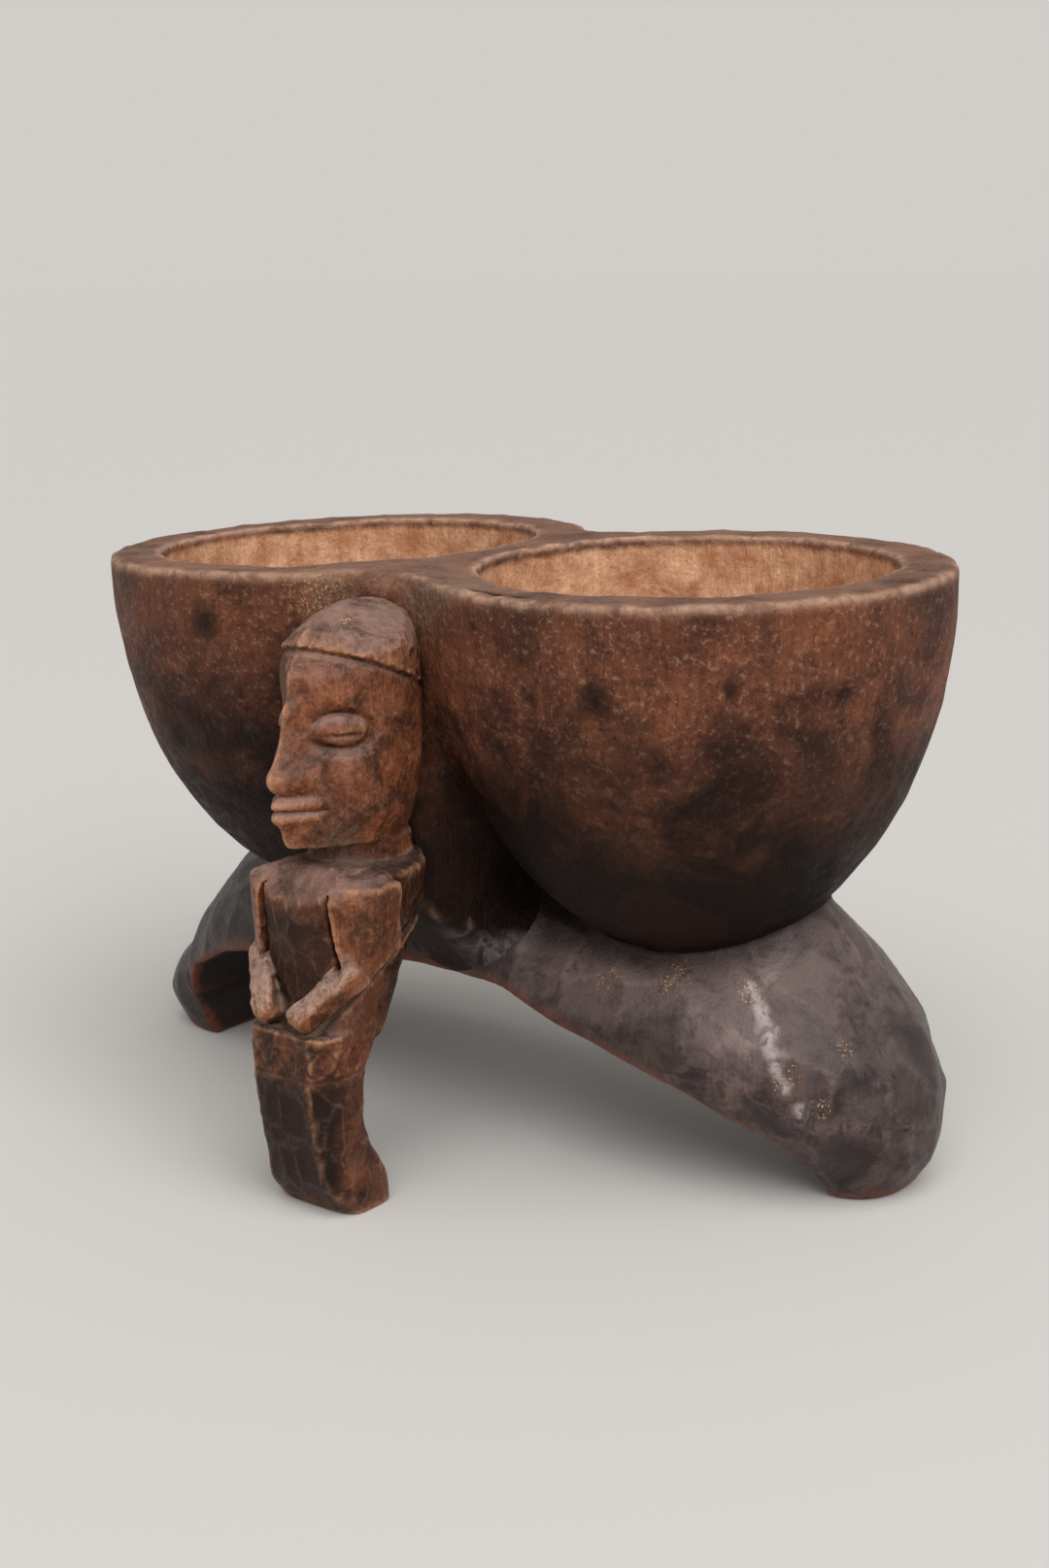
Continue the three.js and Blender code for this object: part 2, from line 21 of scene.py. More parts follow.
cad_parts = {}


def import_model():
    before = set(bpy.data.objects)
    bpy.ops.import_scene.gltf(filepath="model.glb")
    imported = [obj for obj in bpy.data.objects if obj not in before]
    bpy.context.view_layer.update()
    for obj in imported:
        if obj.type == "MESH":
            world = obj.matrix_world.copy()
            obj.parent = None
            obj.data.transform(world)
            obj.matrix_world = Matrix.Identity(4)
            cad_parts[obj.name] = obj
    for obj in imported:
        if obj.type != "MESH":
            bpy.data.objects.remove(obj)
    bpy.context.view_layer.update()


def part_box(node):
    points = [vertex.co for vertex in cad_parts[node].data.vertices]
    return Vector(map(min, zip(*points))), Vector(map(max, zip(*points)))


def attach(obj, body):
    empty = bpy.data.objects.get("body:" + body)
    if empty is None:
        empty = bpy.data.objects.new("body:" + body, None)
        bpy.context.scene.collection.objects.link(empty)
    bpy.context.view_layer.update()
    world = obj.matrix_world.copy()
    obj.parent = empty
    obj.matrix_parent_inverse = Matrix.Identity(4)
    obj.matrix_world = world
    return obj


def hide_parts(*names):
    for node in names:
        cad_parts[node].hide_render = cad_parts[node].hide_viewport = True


LOG = logging.getLogger("palm_wine_cup")
Array = np.ndarray
Point = tuple[float, float, float]
Tree = bpy.types.NodeTree
Socket = bpy.types.NodeSocket
Colour = tuple[float, float, float, float]

MM = 0.001
# What a field reads far from any form, in millimetres, and how far a form may pass its nodes' boxes.
FAR = 40.0
MARGIN = 3.0
# How many level sections a loft follows from its lowest station to its highest.
LOFT_LEVELS = 160
# How wide the block is softened, in millimetres, to find its edges, its creases and the enclosed places that
# get painted shade.
SOFTENED = (0.8, 2.4, 8.0)
# Picks the pattern of the adze cuts.
CUT_SEED = 3
# Multipliers that scatter whole numbers evenly, one for each axis of a cell, and for the seed.
CELL_FACTORS = (73856093, 19349663, 83492791)
SEED_FACTOR = 2654435761
# Shifts and multipliers that stir the bits of such a number.
STIRS = ((16, 2246822519), (13, 3266489917))
# How coarse fine patterns are drawn, in millimetres: pores and dried grains, which are too fine to
# show at their real size, and the patches inside the bowls that the wine has washed.
PORE, DRIED_GRAIN, WASHED_PATCH = 1.3, 0.5, 7.0

NOISE = "ShaderNodeTexNoise"
RANGE = "ShaderNodeMapRange"
MATHS = "ShaderNodeMath"
VECTOR = "ShaderNodeVectorMath"
MIX = "ShaderNodeMix"
KNOWN = "ShaderNodeAttribute"
SMOOTH = {"interpolation_type": "SMOOTHSTEP"}
COLOUR = {"data_type": "RGBA"}
TIMES = {"operation": "MULTIPLY", "use_clamp": True}


class Zone(Enum):
    """The record's three finishes of the one block of wood."""

    BOWL = "bowl_wood"
    LEG = "leg_wood"
    FIGURE = "figure_wood"


# Places and boxes taken from the frame


@dataclass(frozen=True)
class Datum:
    """The carver's zero: on the ground, in the plane between the bowls, on the line of their centres."""

    shift: Point

    @classmethod
    def from_frame(cls) -> Datum:
        """Reads the zero from the right bowl, which is cut off at the plane between the bowls.

        Returns:
            The datum, with its place in the frame in metres.
        """
        low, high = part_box("bowl_right")
        return cls((low[0], (low[1] + high[1]) / 2, 0.0))

    def box(self, node: str) -> tuple[Array, Array]:
        """Gives a node's box from the carver's zero.

        Args:
            node: the name of a CAD node.

        Returns:
            Its lowest and highest corners in millimetres.
        """
        low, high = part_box(node)
        shift = np.array(self.shift)
        return (np.array(low) - shift) / MM, (np.array(high) - shift) / MM

    def to_frame(self, points: Array) -> Array:
        """Turns millimetres from the carver's zero into frame metres."""
        return np.asarray(points) * MM + np.array(self.shift)


# Fields on a grid


@dataclass(frozen=True)
class Grid:
    """A block of evenly spaced points, in millimetres."""

    low: Point
    step: float
    shape: tuple[int, int, int]

    @classmethod
    def around(cls, low: Array, high: Array, step: float) -> Grid:
        """Makes a grid that covers a box.

        Args:
            low: the box's lowest corner.
            high: the box's highest corner.
            step: the distance between points.

        Returns:
            The grid, a few steps larger than the box.
        """
        margin = 3 * step
        counts = np.ceil((np.asarray(high) - low + 2 * margin) / step).astype(int) + 1
        corner = tuple(float(v) for v in np.asarray(low) - margin)
        return cls(corner, step, tuple(int(n) for n in counts))

    def window(self, low: Array, high: Array) -> tuple[slice, slice, slice]:
        """Gives the part of the grid that holds a box.

        Args:
            low: the box's lowest corner.
            high: the box's highest corner.

        Returns:
            A slice for each axis, cut off at the ends of the grid.
        """
        first = np.floor((np.asarray(low) - self.low) / self.step).astype(int)
        last = np.ceil((np.asarray(high) - self.low) / self.step).astype(int) + 1
        spans = zip(np.maximum(first, 0), np.minimum(last, self.shape))
        return tuple(slice(int(a), int(max(a, b))) for a, b in spans)

    def axes(self, window: tuple[slice, slice, slice]) -> tuple[Array, Array, Array]:
        """Gives the coordinates of a window, shaped so that they spread over it.

        Args:
            window: a slice for each axis.

        Returns:
            The coordinates along X, Y and Z.
        """
        lines = []
        for axis, part in enumerate(window):
            line = self.low[axis] + self.step * np.arange(part.start, part.stop)
            lines.append(line.reshape([-1 if i == axis else 1 for i in range(3)]))
        return tuple(lines)

    def sample(self, values: Array, points: Array) -> Array:
        """Reads a field between grid points.

        Args:
            values: one value per grid point.
            points: places in millimetres, one per row.

        Returns:
            The field's value at each place.
        """
        place = (points - np.array(self.low)) / self.step
        place = np.clip(place, 0, np.array(self.shape) - 1.001)
        base = place.astype(int)
        part = place - base
        found = np.zeros(len(points))
        for corner in product((0, 1), repeat=3):
            weight = np.prod(np.where(corner, part, 1 - part), axis=1)
            at = base + corner
            found += weight * values[at[:, 0], at[:, 1], at[:, 2]]
        return found


def as_distance(field: Array, step: float) -> Array:
    """Evens a field out so that near its surface it reads in millimetres.

    Args:
        field: negative inside the form and positive outside.
        step: the grid's step.

    Returns:
        The field divided by its own slope.
    """
    slopes = np.gradient(field, step)
    slope = np.sqrt(sum(s * s for s in slopes))
    return np.clip(field / np.maximum(slope, 1e-3), -FAR, FAR)


def blend(a: Array, b: Array, reach: float) -> Array:
    """Joins two forms with a fillet about as wide as the reach.

    Args:
        a: one form's field.
        b: the other form's field.
        reach: how wide the fillet is.

    Returns:
        The field of both together.
    """
    if reach <= 0:
        return np.minimum(a, b)
    near = np.maximum(reach - np.abs(a - b), 0) / reach
    return np.minimum(a, b) - near * near * reach / 4


def trim(a: Array, b: Array, reach: float) -> Array:
    """Keeps what two forms share, with the edge between them rounded over."""
    return -blend(-a, -b, reach)


def undulation(x: Array, y: Array, z: Array, wave: float, seed: int) -> Array:
    """A slow uneven swell from 0 to about 1, as a hand leaves on a surface.

    Args:
        x, y, z: coordinates in millimetres.
        wave: the usual distance from crest to crest.
        seed: picks the pattern.

    Returns:
        The swell at each place.
    """
    random = np.random.default_rng(seed)
    total = 0.0
    waves = 5
    # The waves seldom all crest at one place, so three quarters of their sum counts as the full swell.
    full = 2 * waves * 0.75
    for _ in range(waves):
        course = random.normal(size=3)
        course *= 2 * math.pi / (wave * np.linalg.norm(course))
        phase = random.uniform(0, 2 * math.pi)
        total = total + np.sin(course[0] * x + course[1] * y + course[2] * z + phase)
    return 0.5 + total / full


def cell_noise(cells: Array, seed: int) -> Array:
    """Gives three even random numbers from 0 to 1 for each whole-numbered cell.

    Args:
        cells: the cells, one per row.
        seed: picks the pattern.

    Returns:
        Three numbers per row.
    """
    words = cells.astype(np.uint32)
    mixed = np.full(len(words), seed * SEED_FACTOR % 2**32, dtype=np.uint32)
    for axis, factor in enumerate(CELL_FACTORS):
        mixed = mixed ^ words[:, axis] * np.uint32(factor)
    columns = []
    for _ in range(3):
        for shift, factor in STIRS:
            mixed = (mixed ^ mixed >> np.uint32(shift)) * np.uint32(factor)
        mixed = mixed ^ mixed >> np.uint32(16)
        columns.append(mixed / 2.0**32)
    return np.stack(columns, axis=1)


def adze_cuts(points: Array, size: Point, seed: int) -> tuple[Array, Array]:
    """Reads how far each place lies inside its own tool cut, and a number that the cut has to itself.

    Args:
        points: places in millimetres, one per row.
        size: the usual size of one cut along X, Y and Z.
        seed: picks the pattern.

    Returns:
        0 on the ridge between two cuts, rising in a hollow curve to 1 in the middle of a cut, and
        the cut's own even random number.
    """
    scaled = points / np.array(size)
    base = np.floor(scaled).astype(np.int64)
    # A squared distance past that of any neighbour, and how many cells nearer than the next middle
    # the own one is at the bottom of a cut.
    beyond, bottom = 9.0, 0.8
    nearest = np.full(len(points), beyond)
    second = np.full(len(points), beyond)
    tone = np.zeros(len(points))
    for neighbour in product((-1, 0, 1), repeat=3):
        cell = base + neighbour
        offset = cell_noise(cell, seed)
        distance = np.sum((scaled - cell - offset) ** 2, axis=1)
        tone = np.where(distance < nearest, offset[:, 0], tone)
        second = np.minimum(second, np.maximum(nearest, distance))
        nearest = np.minimum(nearest, distance)
    inward = np.clip((np.sqrt(second) - np.sqrt(nearest)) / bottom, 0, 1)
    return 1 - (1 - inward) ** 2, tone


def soften(field: Array, radius: int) -> Array:
    """Averages a field over its surroundings, by running means along each axis, taken twice.

    Args:
        field: one value per grid point.
        radius: half the width of each running mean, in steps.

    Returns:
        The averaged field.
    """
    result = field.astype(np.float32)
    for _ in range(2):
        for axis in range(3):
            padded = np.concatenate(
                [np.repeat(result.take([0], axis), radius + 1, axis), result,
                 np.repeat(result.take([-1], axis), radius, axis)], axis)
            total = np.cumsum(padded, axis, dtype=np.float64)
            width = 2 * radius + 1
            count = result.shape[axis]
            ahead = total.take(range(width, width + count), axis)
            behind = total.take(range(count), axis)
            result = ((ahead - behind) / width).astype(np.float32)
    return result


# Level sections, the way that the legs and the figure were laid out


@dataclass(frozen=True)
class Section:
    """A rounded level section of a member, in millimetres.

    It runs from the front to the back, and half_x to either side of x. A squareness of 2 is an
    ellipse, and more fills its corners. The wedge draws the middle of the front out into a ridge.
    """

    z: float
    front: float
    back: float
    half_x: float
    squareness: float
    wedge: float = 0.0
    x: float = 0.0

    def values(self) -> tuple[float, ...]:
        """Gives what the loft follows: height, centre, half sizes, squareness and wedge.

        Returns:
            Seven numbers, with the centre and the half sizes along X and then Y.
        """
        flat = self.front + self.wedge
        centre, half = (flat + self.back) / 2, (self.back - flat) / 2
        return self.z, self.x, centre, self.half_x, half, self.squareness, self.wedge


def follow(rows: Array, t: float) -> Array:
    """Reads a smooth course through evenly numbered rows, with no overshoot.

    Args:
        rows: one row of values per station.
        t: how far along, from 0 to 1.

    Returns:
        The values there.
    """
    last = len(rows) - 1
    span = min(int(t * last), last - 1)
    u = t * last - span
    a = rows[max(span - 1, 0)]
    b, c = rows[span], rows[span + 1]
    d = rows[min(span + 2, last)]

    def slope(left: Array, right: Array) -> Array:
        """Limits a slope by the steps on either side of it.

        Args:
            left: the step before.
            right: the step after.

        Returns:
            The slope between them.
        """
        even = (left + right) / 2
        cap = 3 * np.minimum(np.abs(left), np.abs(right))
        return np.where(left * right <= 0, 0, np.sign(even) * np.minimum(np.abs(even), cap))

    start = c - b if span == 0 else slope(b - a, c - b)
    end = c - b if span == last - 1 else slope(c - b, d - c)
    u2, u3 = u * u, u * u * u
    return (2 * u3 - 3 * u2 + 1) * b + (u3 - 2 * u2 + u) * start + (3 * u2 - 2 * u3) * c + (u3 - u2) * end


def loft(sections: list[Section], x: Array, y: Array, z: Array) -> Array:
    """The field of a member that is lofted upwards through level sections.

    Args:
        sections: the sections, lowest first.
        x, y, z: coordinates in millimetres.

    Returns:
        A field that is negative inside. Its slope is not even, so as_distance comes next.
    """
    rows = np.array([s.values() for s in sections])
    course = np.array([follow(rows, t) for t in np.linspace(0, 1, LOFT_LEVELS)])
    level = [np.interp(z, course[:, 0], course[:, i]) for i in range(1, 7)]
    centre_x, centre_y, half_x, half_y, power, wedge = level
    across = np.abs(x - centre_x) / half_x
    ridge = np.where(y < centre_y, wedge * np.clip(1 - across, 0, 1), 0)
    deep = np.abs(y - centre_y) / (half_y + ridge)
    size = (across ** power + deep ** power) ** (1 / power)
    return (size - 1) * np.minimum(half_x, half_y)


def ellipsoid(centre: Point, half: Point, x: Array, y: Array, z: Array, turn: float = 0.0) -> Array:
    """The field of an ellipsoid that is turned about its upright axis.

    Args:
        centre: its middle.
        half: its half sizes along its own axes.
        x, y, z: coordinates in millimetres.
        turn: the turn about Z in radians.

    Returns:
        Roughly the distance to it, negative inside.
    """
    dx, dy, dz = x - centre[0], y - centre[1], z - centre[2]
    cos, sin = math.cos(turn), math.sin(turn)
    own_x, own_y = cos * dx + sin * dy, cos * dy - sin * dx
    size = np.sqrt((own_x / half[0]) ** 2 + (own_y / half[1]) ** 2 + (dz / half[2]) ** 2)
    return (size - 1) * min(half)


def rod(start: Point, end: Point, radius: float, x: Array, y: Array, z: Array) -> Array:
    """The field of a round rod with round ends, used for gouged lines.

    Args:
        start: one end of its centre line.
        end: the other end.
        radius: its radius.
        x, y, z: coordinates in millimetres.

    Returns:
        The distance to it, negative inside.
    """
    a, b = np.array(start), np.array(end)
    course = b - a
    along = (x - a[0]) * course[0] + (y - a[1]) * course[1] + (z - a[2]) * course[2]
    along = np.clip(along / (course @ course), 0, 1)
    gap = [v - a[i] - along * course[i] for i, v in enumerate((x, y, z))]
    return np.sqrt(sum(g * g for g in gap)) - radius


def bar(start: Point, end: Point, half: tuple[float, float], up: Point,
        x: Array, y: Array, z: Array) -> Array:
    """The field of a square-edged bar that grows a little slimmer towards its end.

    Args:
        start: one end of its centre line.
        end: the other end.
        half: half its width and half its height at the start.
        up: roughly which way its top faces.
        x, y, z: coordinates in millimetres.

    Returns:
        Roughly the distance to it, negative inside.
    """
    a = np.array(start)
    course = np.array(end) - a
    length = np.linalg.norm(course)
    course = course / length
    across = np.cross(course, up)
    across /= np.linalg.norm(across)
    over = np.cross(across, course)

    def reach(line: Array) -> Array:
        """How far a place lies along a line through the start."""
        return (x - a[0]) * line[0] + (y - a[1]) * line[1] + (z - a[2]) * line[2]

    taper, rounding = 0.12, 1.8
    along = reach(course)
    slim = 1 - taper * np.clip(along / length, 0, 1)
    wide = np.abs(reach(across)) - half[0] * slim
    tall = np.abs(reach(over)) - half[1] * slim
    return trim(trim(wide, tall, rounding), np.maximum(along - length, -along), rounding)


def stroke(start: tuple[float, float], end: tuple[float, float], width: float, u: Array, z: Array) -> Array:
    """Reads an incised stroke on an unrolled surface: 1 in its middle and 0 beyond its width.

    Args:
        start: one end, along the surface and in height.
        end: the other end.
        width: half its width.
        u: distances along the unrolled surface.
        z: coordinates along Z.

    Returns:
        How deep each place lies in the stroke, from 0 to 1.
    """
    run, rise = end[0] - start[0], end[1] - start[1]
    along = np.clip(((u - start[0]) * run + (z - start[1]) * rise) / (run * run + rise * rise), 0, 1)
    gap = np.hypot(u - start[0] - along * run, z - start[1] - along * rise)
    return np.clip(1 - gap / width, 0, 1)


# The members of the cup


@dataclass
class Member:
    """One carved member, which stands for one or more CAD nodes."""

    datum: Datum
    name: str
    zone: Zone
    nodes: tuple[str, ...] = ()
    cut: Point = (9.0, 9.0, 12.0)
    cut_depth: float = 0.3

    def reach(self) -> tuple[Array, Array]:
        """Gives the box that the member's form lies in, in millimetres.

        Returns:
            Its lowest and highest corners.
        """
        boxes = [self.datum.box(node) for node in self.nodes]
        low = np.min([b[0] for b in boxes], axis=0)
        high = np.max([b[1] for b in boxes], axis=0)
        return low - MARGIN, high + MARGIN

    def form(self, x: Array, y: Array, z: Array, step: float) -> Array:
        """Gives the member's distance field. Each member has its own."""
        raise NotImplementedError

    def cut_share(self, x: Array, y: Array, z: Array) -> Array:
        """How deep the tool cuts go at a place, from 0 on the sole to 1."""
        return np.clip((z - 0.6) / 2, 0, 1)

    def soot_and_shade(self, x: Array, y: Array, z: Array) -> Array:
        """How dark dirt and painted shade make a place, from 0 to 1."""
        return np.zeros_like(x)

    def rubbed(self, x: Array, y: Array, z: Array) -> Array:
        """Where an edge is worn bare beyond what its own sharpness tells."""
        return np.zeros_like(x)

    def highlight_and_polish(self, x: Array, y: Array, z: Array) -> Array:
        """Where pale polish, pale crust and painted highlights lie, from 0 to 1."""
        return np.zeros_like(x)

    def on_grid(self, grid: Grid) -> Array:
        """Gives the member's field over a whole grid, far outside its own reach.

        Args:
            grid: the block's grid.

        Returns:
            One value per grid point.
        """
        window = grid.window(*self.reach())
        field = np.full(grid.shape, FAR, dtype=np.float32)
        if all(part.stop - part.start > 2 for part in window):
            field[window] = self.form(*grid.axes(window), grid.step)
        return field


@dataclass
class Bowl(Member):
    """A deep bowl with a rounded rim and a hollow cut down into it.

    The sizes that the frame can't tell are the wall's, the floor's and the rim's.
    """

    side: int = 1
    wall: float = 12.0
    floor: float = 13.0
    rim_outer_round: float = 2.2
    rim_inner_round: float = 2.6
    past_middle: float = 3.0
    crack_half: float = 1.05
    unevenness: float = 0.5
    cracks: tuple[tuple[Point, Point], ...] = ()

    def shape(self) -> tuple[float, float, float, float, float]:
        """Works the bowl's sizes out from its box: centre, radius, rim, bottom and lean.

        Returns:
            Those five, in millimetres but for the lean, which is a slope along X.
        """
        low, high = self.datum.box("bowl_right")
        radius = (high[1] - low[1]) / 2
        centre = high[0] - radius
        left_low, _ = self.datum.box("bowl_left")
        lean = (low[2] - left_low[2]) / centre if self.side < 0 else 0.0
        return self.side * centre, radius, high[2], low[2], max(lean, 0.0)

    def outside(self, x: Array, y: Array, z: Array, step: float) -> Array:
        """The bowl as a solid lump, up to the rim.

        Args:
            x, y, z: coordinates in millimetres.
            step: the grid's step.

        Returns:
            The distance field.
        """
        centre, radius, rim, bottom, lean = self.shape()
        level = z - lean * x
        shoulder = rim - self.rim_outer_round
        drop = np.maximum(shoulder - level, 0) / (shoulder - bottom)
        round_about = np.sqrt((x - centre) ** 2 + y * y) / radius
        lump = as_distance((np.sqrt(round_about**2 + drop**2) - 1) * radius, step)
        swell = self.unevenness * undulation(x, y, z, wave=46.0, seed=11 + self.side)
        lump = trim(lump + swell, self.above_rim(x, y, z), self.rim_outer_round)
        return trim(lump, self.crack_half - self.crack_gap(x, y, z), 0.0)

    def crack_gap(self, x: Array, y: Array, z: Array) -> Array:
        """How far a place lies from the cracks, which are wide and narrow by turns.

        Args:
            x, y, z: coordinates in millimetres.

        Returns:
            The distance in millimetres.
        """
        gap = np.full(np.broadcast(x, y, z).shape, FAR)
        for start, end in self.cracks:
            gap = np.minimum(gap, rod(start, end, 0.0, x, y, z))
        return gap + 1.1 * np.clip(undulation(x, y, z, wave=6.0, seed=31), 0, 1)

    def above_rim(self, x: Array, y: Array, z: Array) -> Array:
        """How far a place lies above the rim, which is uneven and has small nicks.

        Args:
            x, y, z: coordinates in millimetres.

        Returns:
            The height in millimetres, negative below the rim.
        """
        _, _, rim, _, lean = self.shape()
        uneven = 0.35 * np.clip(undulation(x, y, z, wave=30.0, seed=5), 0, 1)
        nicks = 0.9 * np.clip(undulation(x, y, z, wave=7.0, seed=9) - 0.62, 0, 1)
        return z - lean * np.minimum(x, 0) - rim + uneven + nicks

    def soot_and_shade(self, x: Array, y: Array, z: Array) -> Array:
        """Dirt has filled the cracks."""
        return np.clip((1.9 - self.crack_gap(x, y, z)) / 0.9, 0, 1)

    def hollow(self, x: Array, y: Array, z: Array, step: float) -> Array:
        """The hollow, negative where the wine goes.

        Args:
            x, y, z: coordinates in millimetres.
            step: the grid's step.

        Returns:
            The distance field.
        """
        centre, radius, rim, bottom, lean = self.shape()
        level = z - lean * x
        top = rim - self.rim_inner_round
        drop = np.maximum(top - level, 0) / (top - bottom - self.floor)
        inner = radius - self.wall
        round_about = np.sqrt((x - centre) ** 2 + y * y) / inner
        lump = as_distance((np.sqrt(round_about**2 + drop**2) - 1) * inner, step)
        return lump + self.unevenness * undulation(x, y, z, wave=34.0, seed=23 + self.side)

    def form(self, x: Array, y: Array, z: Array, step: float) -> Array:
        """The outside, run a little past the plane between the bowls."""
        return trim(self.outside(x, y, z, step), -self.side * x - self.past_middle, 0.0)


@dataclass
class Spine(Member):
    """The wood between the bowls, in front behind the figure and at the back."""

    foot_half: float = 20.0
    waist_half: float = 13.0
    rim_half: float = 22.0
    rim_drop: float = 1.2
    underside: float = 37.0

    def form(self, x: Array, y: Array, z: Array, step: float) -> Array:
        """Broad at the foot, narrow behind the figure's back and broad again at the rim.

        Args:
            x, y, z: coordinates in millimetres.
            step: the grid's step.

        Returns:
            The distance field.
        """
        low, high = self.datum.box("spine")
        _, bowl_high = self.datum.box("bowl_right")
        front, back = low[1] + 0.5, high[1] - 1.0
        top = bowl_high[2] - self.rim_drop
        foot, waist, rim = self.foot_half, self.waist_half, self.rim_half
        sections = [
            Section(36.0, front + 24, back - 5, foot, 2.6),
            Section(50.0, front + 8, back - 2, foot - 2, 2.8),
            Section(61.0, front, back, waist, 3.2),
            Section(78.0, front, back, waist, 3.4),
            Section(100.0, front, back, waist + 3, 3.4),
            Section(top - 6, front - 0.5, back + 1, rim, 3.4),
            Section(top, front + 1.5, back - 1, rim - 2, 3.2),
        ]
        body = as_distance(loft(sections, x, y, z), step)
        body = body + 0.6 * undulation(x, y, z, wave=22.0, seed=41)
        return trim(trim(body, z - top, 3.0), self.underside - z, 2.0)

    def soot_and_shade(self, x: Array, y: Array, z: Array) -> Array:
        """Painted shade: the wood between the bowls beside the figure is painted darker lower down."""
        return np.clip((118.0 - z) / 12, 0, 0.55)

    def highlight_and_polish(self, x: Array, y: Array, z: Array) -> Array:
        """The foot is greyed like the legs that it runs into, up to a line that slopes down outwards.

        Args:
            x, y, z: coordinates in millimetres.

        Returns:
            The share of polish, from 0 to 1.
        """
        out = np.abs(x)
        below = np.clip((54.5 - 0.4 * (out - 6.4) - z) / 3, 0, 1)
        return 0.75 * below * np.clip((out - 4) / 8, 0.1, 1)


@dataclass
class Leg(Member):
    """A flared petal under one bowl, rounded at its end and flat on its sole."""

    side: int = 1
    sole_y: float = 8.5
    root_y: float = 7.0
    half_depth: float = 36.0
    root_height: float = 62.0
    outline: tuple[float, ...] = (95, 100.5, 101, 98.8, 94, 87.5, 80.5, 72)
    arch: tuple[tuple[float, float], ...] = ((16, 38.2), (40, 32), (62, 23.5), (76, 15), (82, 6), (84, 0))
    crown: float = 39.0
    # How much painted shade darkens the whole leg.
    darkness: float = 0.0
    streak: tuple[Point, ...] = ()

    def sections(self) -> list[Section]:
        """Lays out the leg's level sections, from the sole up to its root under the bowl.

        Returns:
            The sections, lowest first.
        """
        sole_inner = self.arch[-1][0]
        inner = (sole_inner - 14, sole_inner - 30, 30, 4, -16, -18, -6, 10)
        depth = (0.347, 0.53, 0.76, 0.92, 1.0, 0.88, 0.62, 0.42)
        step = self.root_height / (len(self.outline) - 1)
        made = []
        for i, outer in enumerate(self.outline):
            y = self.sole_y + (self.root_y - self.sole_y) * min(1.0, i / 3)
            half = self.half_depth * depth[i]
            x = self.side * (inner[i] + outer) / 2
            made.append(Section(i * step, y - half, y + half, (outer - inner[i]) / 2, 2.25, 0.0, x))
        return made

    def form(self, x: Array, y: Array, z: Array, step: float) -> Array:
        """The petal, with the arch cut away under it and the sole cut flat.

        Args:
            x, y, z: coordinates in millimetres.
            step: the grid's step.

        Returns:
            The distance field.
        """
        petal = as_distance(loft(self.sections(), x, y, z), step)
        petal = petal + 0.7 * undulation(x, y, z, wave=30.0, seed=61 + self.side)
        under = np.minimum(self.arch_height(x) - z, self.arch[-1][0] - self.side * x)
        hollow = as_distance(np.broadcast_to(under, np.broadcast(x, y, z).shape), step)
        body = trim(petal, hollow, 1.2)
        body = trim(body, -z, 1.4)
        return trim(body, z - self.root_height, 1.0)

    def arch_height(self, x: Array) -> Array:
        """How high the arch stands over a place."""
        places, heights = zip((0.0, self.crown), *self.arch)
        return np.interp(self.side * x, places, heights)

    def cut_share(self, x: Array, y: Array, z: Array) -> Array:
        """The cuts run out towards the arch's edge, which was pared even, and up under the bowl."""
        pared = np.clip((z - self.arch_height(x)) / 7, 0.15, 1)
        return super().cut_share(x, y, z) * pared * np.clip(1.3 - z / 75, 0.45, 1)

    def soot_and_shade(self, x: Array, y: Array, z: Array) -> Array:
        """Painted shade: the outer side is darker than the front, and the darkness darkens a whole leg that
        stands out of the light.
        """
        out = np.clip((self.side * x - 74) / 22, 0, 1) * np.clip(0.35 + z / 40, 0.45, 1)
        return self.darkness + (0.62 - 0.6 * self.darkness) * out

    def rubbed(self, x: Array, y: Array, z: Array) -> Array:
        """The arch's edge is worn down to red wood, one to four millimetres wide.

        Args:
            x, y, z: coordinates in millimetres.

        Returns:
            The share of bare wood, from 0 to 1.
        """
        width = 0.9 + 3.0 * undulation(x, y, z, wave=11.0, seed=73)
        edge = np.clip(1.2 - (z - self.arch_height(x)) / width, 0, 1)
        return edge * np.clip((loft(self.sections(), x, y, z) + 3.6) / 1.2, 0, 1)

    def highlight_and_polish(self, x: Array, y: Array, z: Array) -> Array:
        """The pale streak that runs down the leg's ridge: partly a pale crust, partly a painted highlight
        where the ridge turns to the light.

        Args:
            x, y, z: coordinates in millimetres.

        Returns:
            The share of the pale streak, from 0 to 1.
        """
        gap = np.full(np.shape(x), FAR)
        for start, end in zip(self.streak, self.streak[1:]):
            gap = np.minimum(gap, rod(start, end, 0.0, x, y, z))
        gap = gap + 3.4 * undulation(x, y, z, wave=4.5, seed=71)
        return np.clip((3.8 - gap) / 1.6, 0, 1)


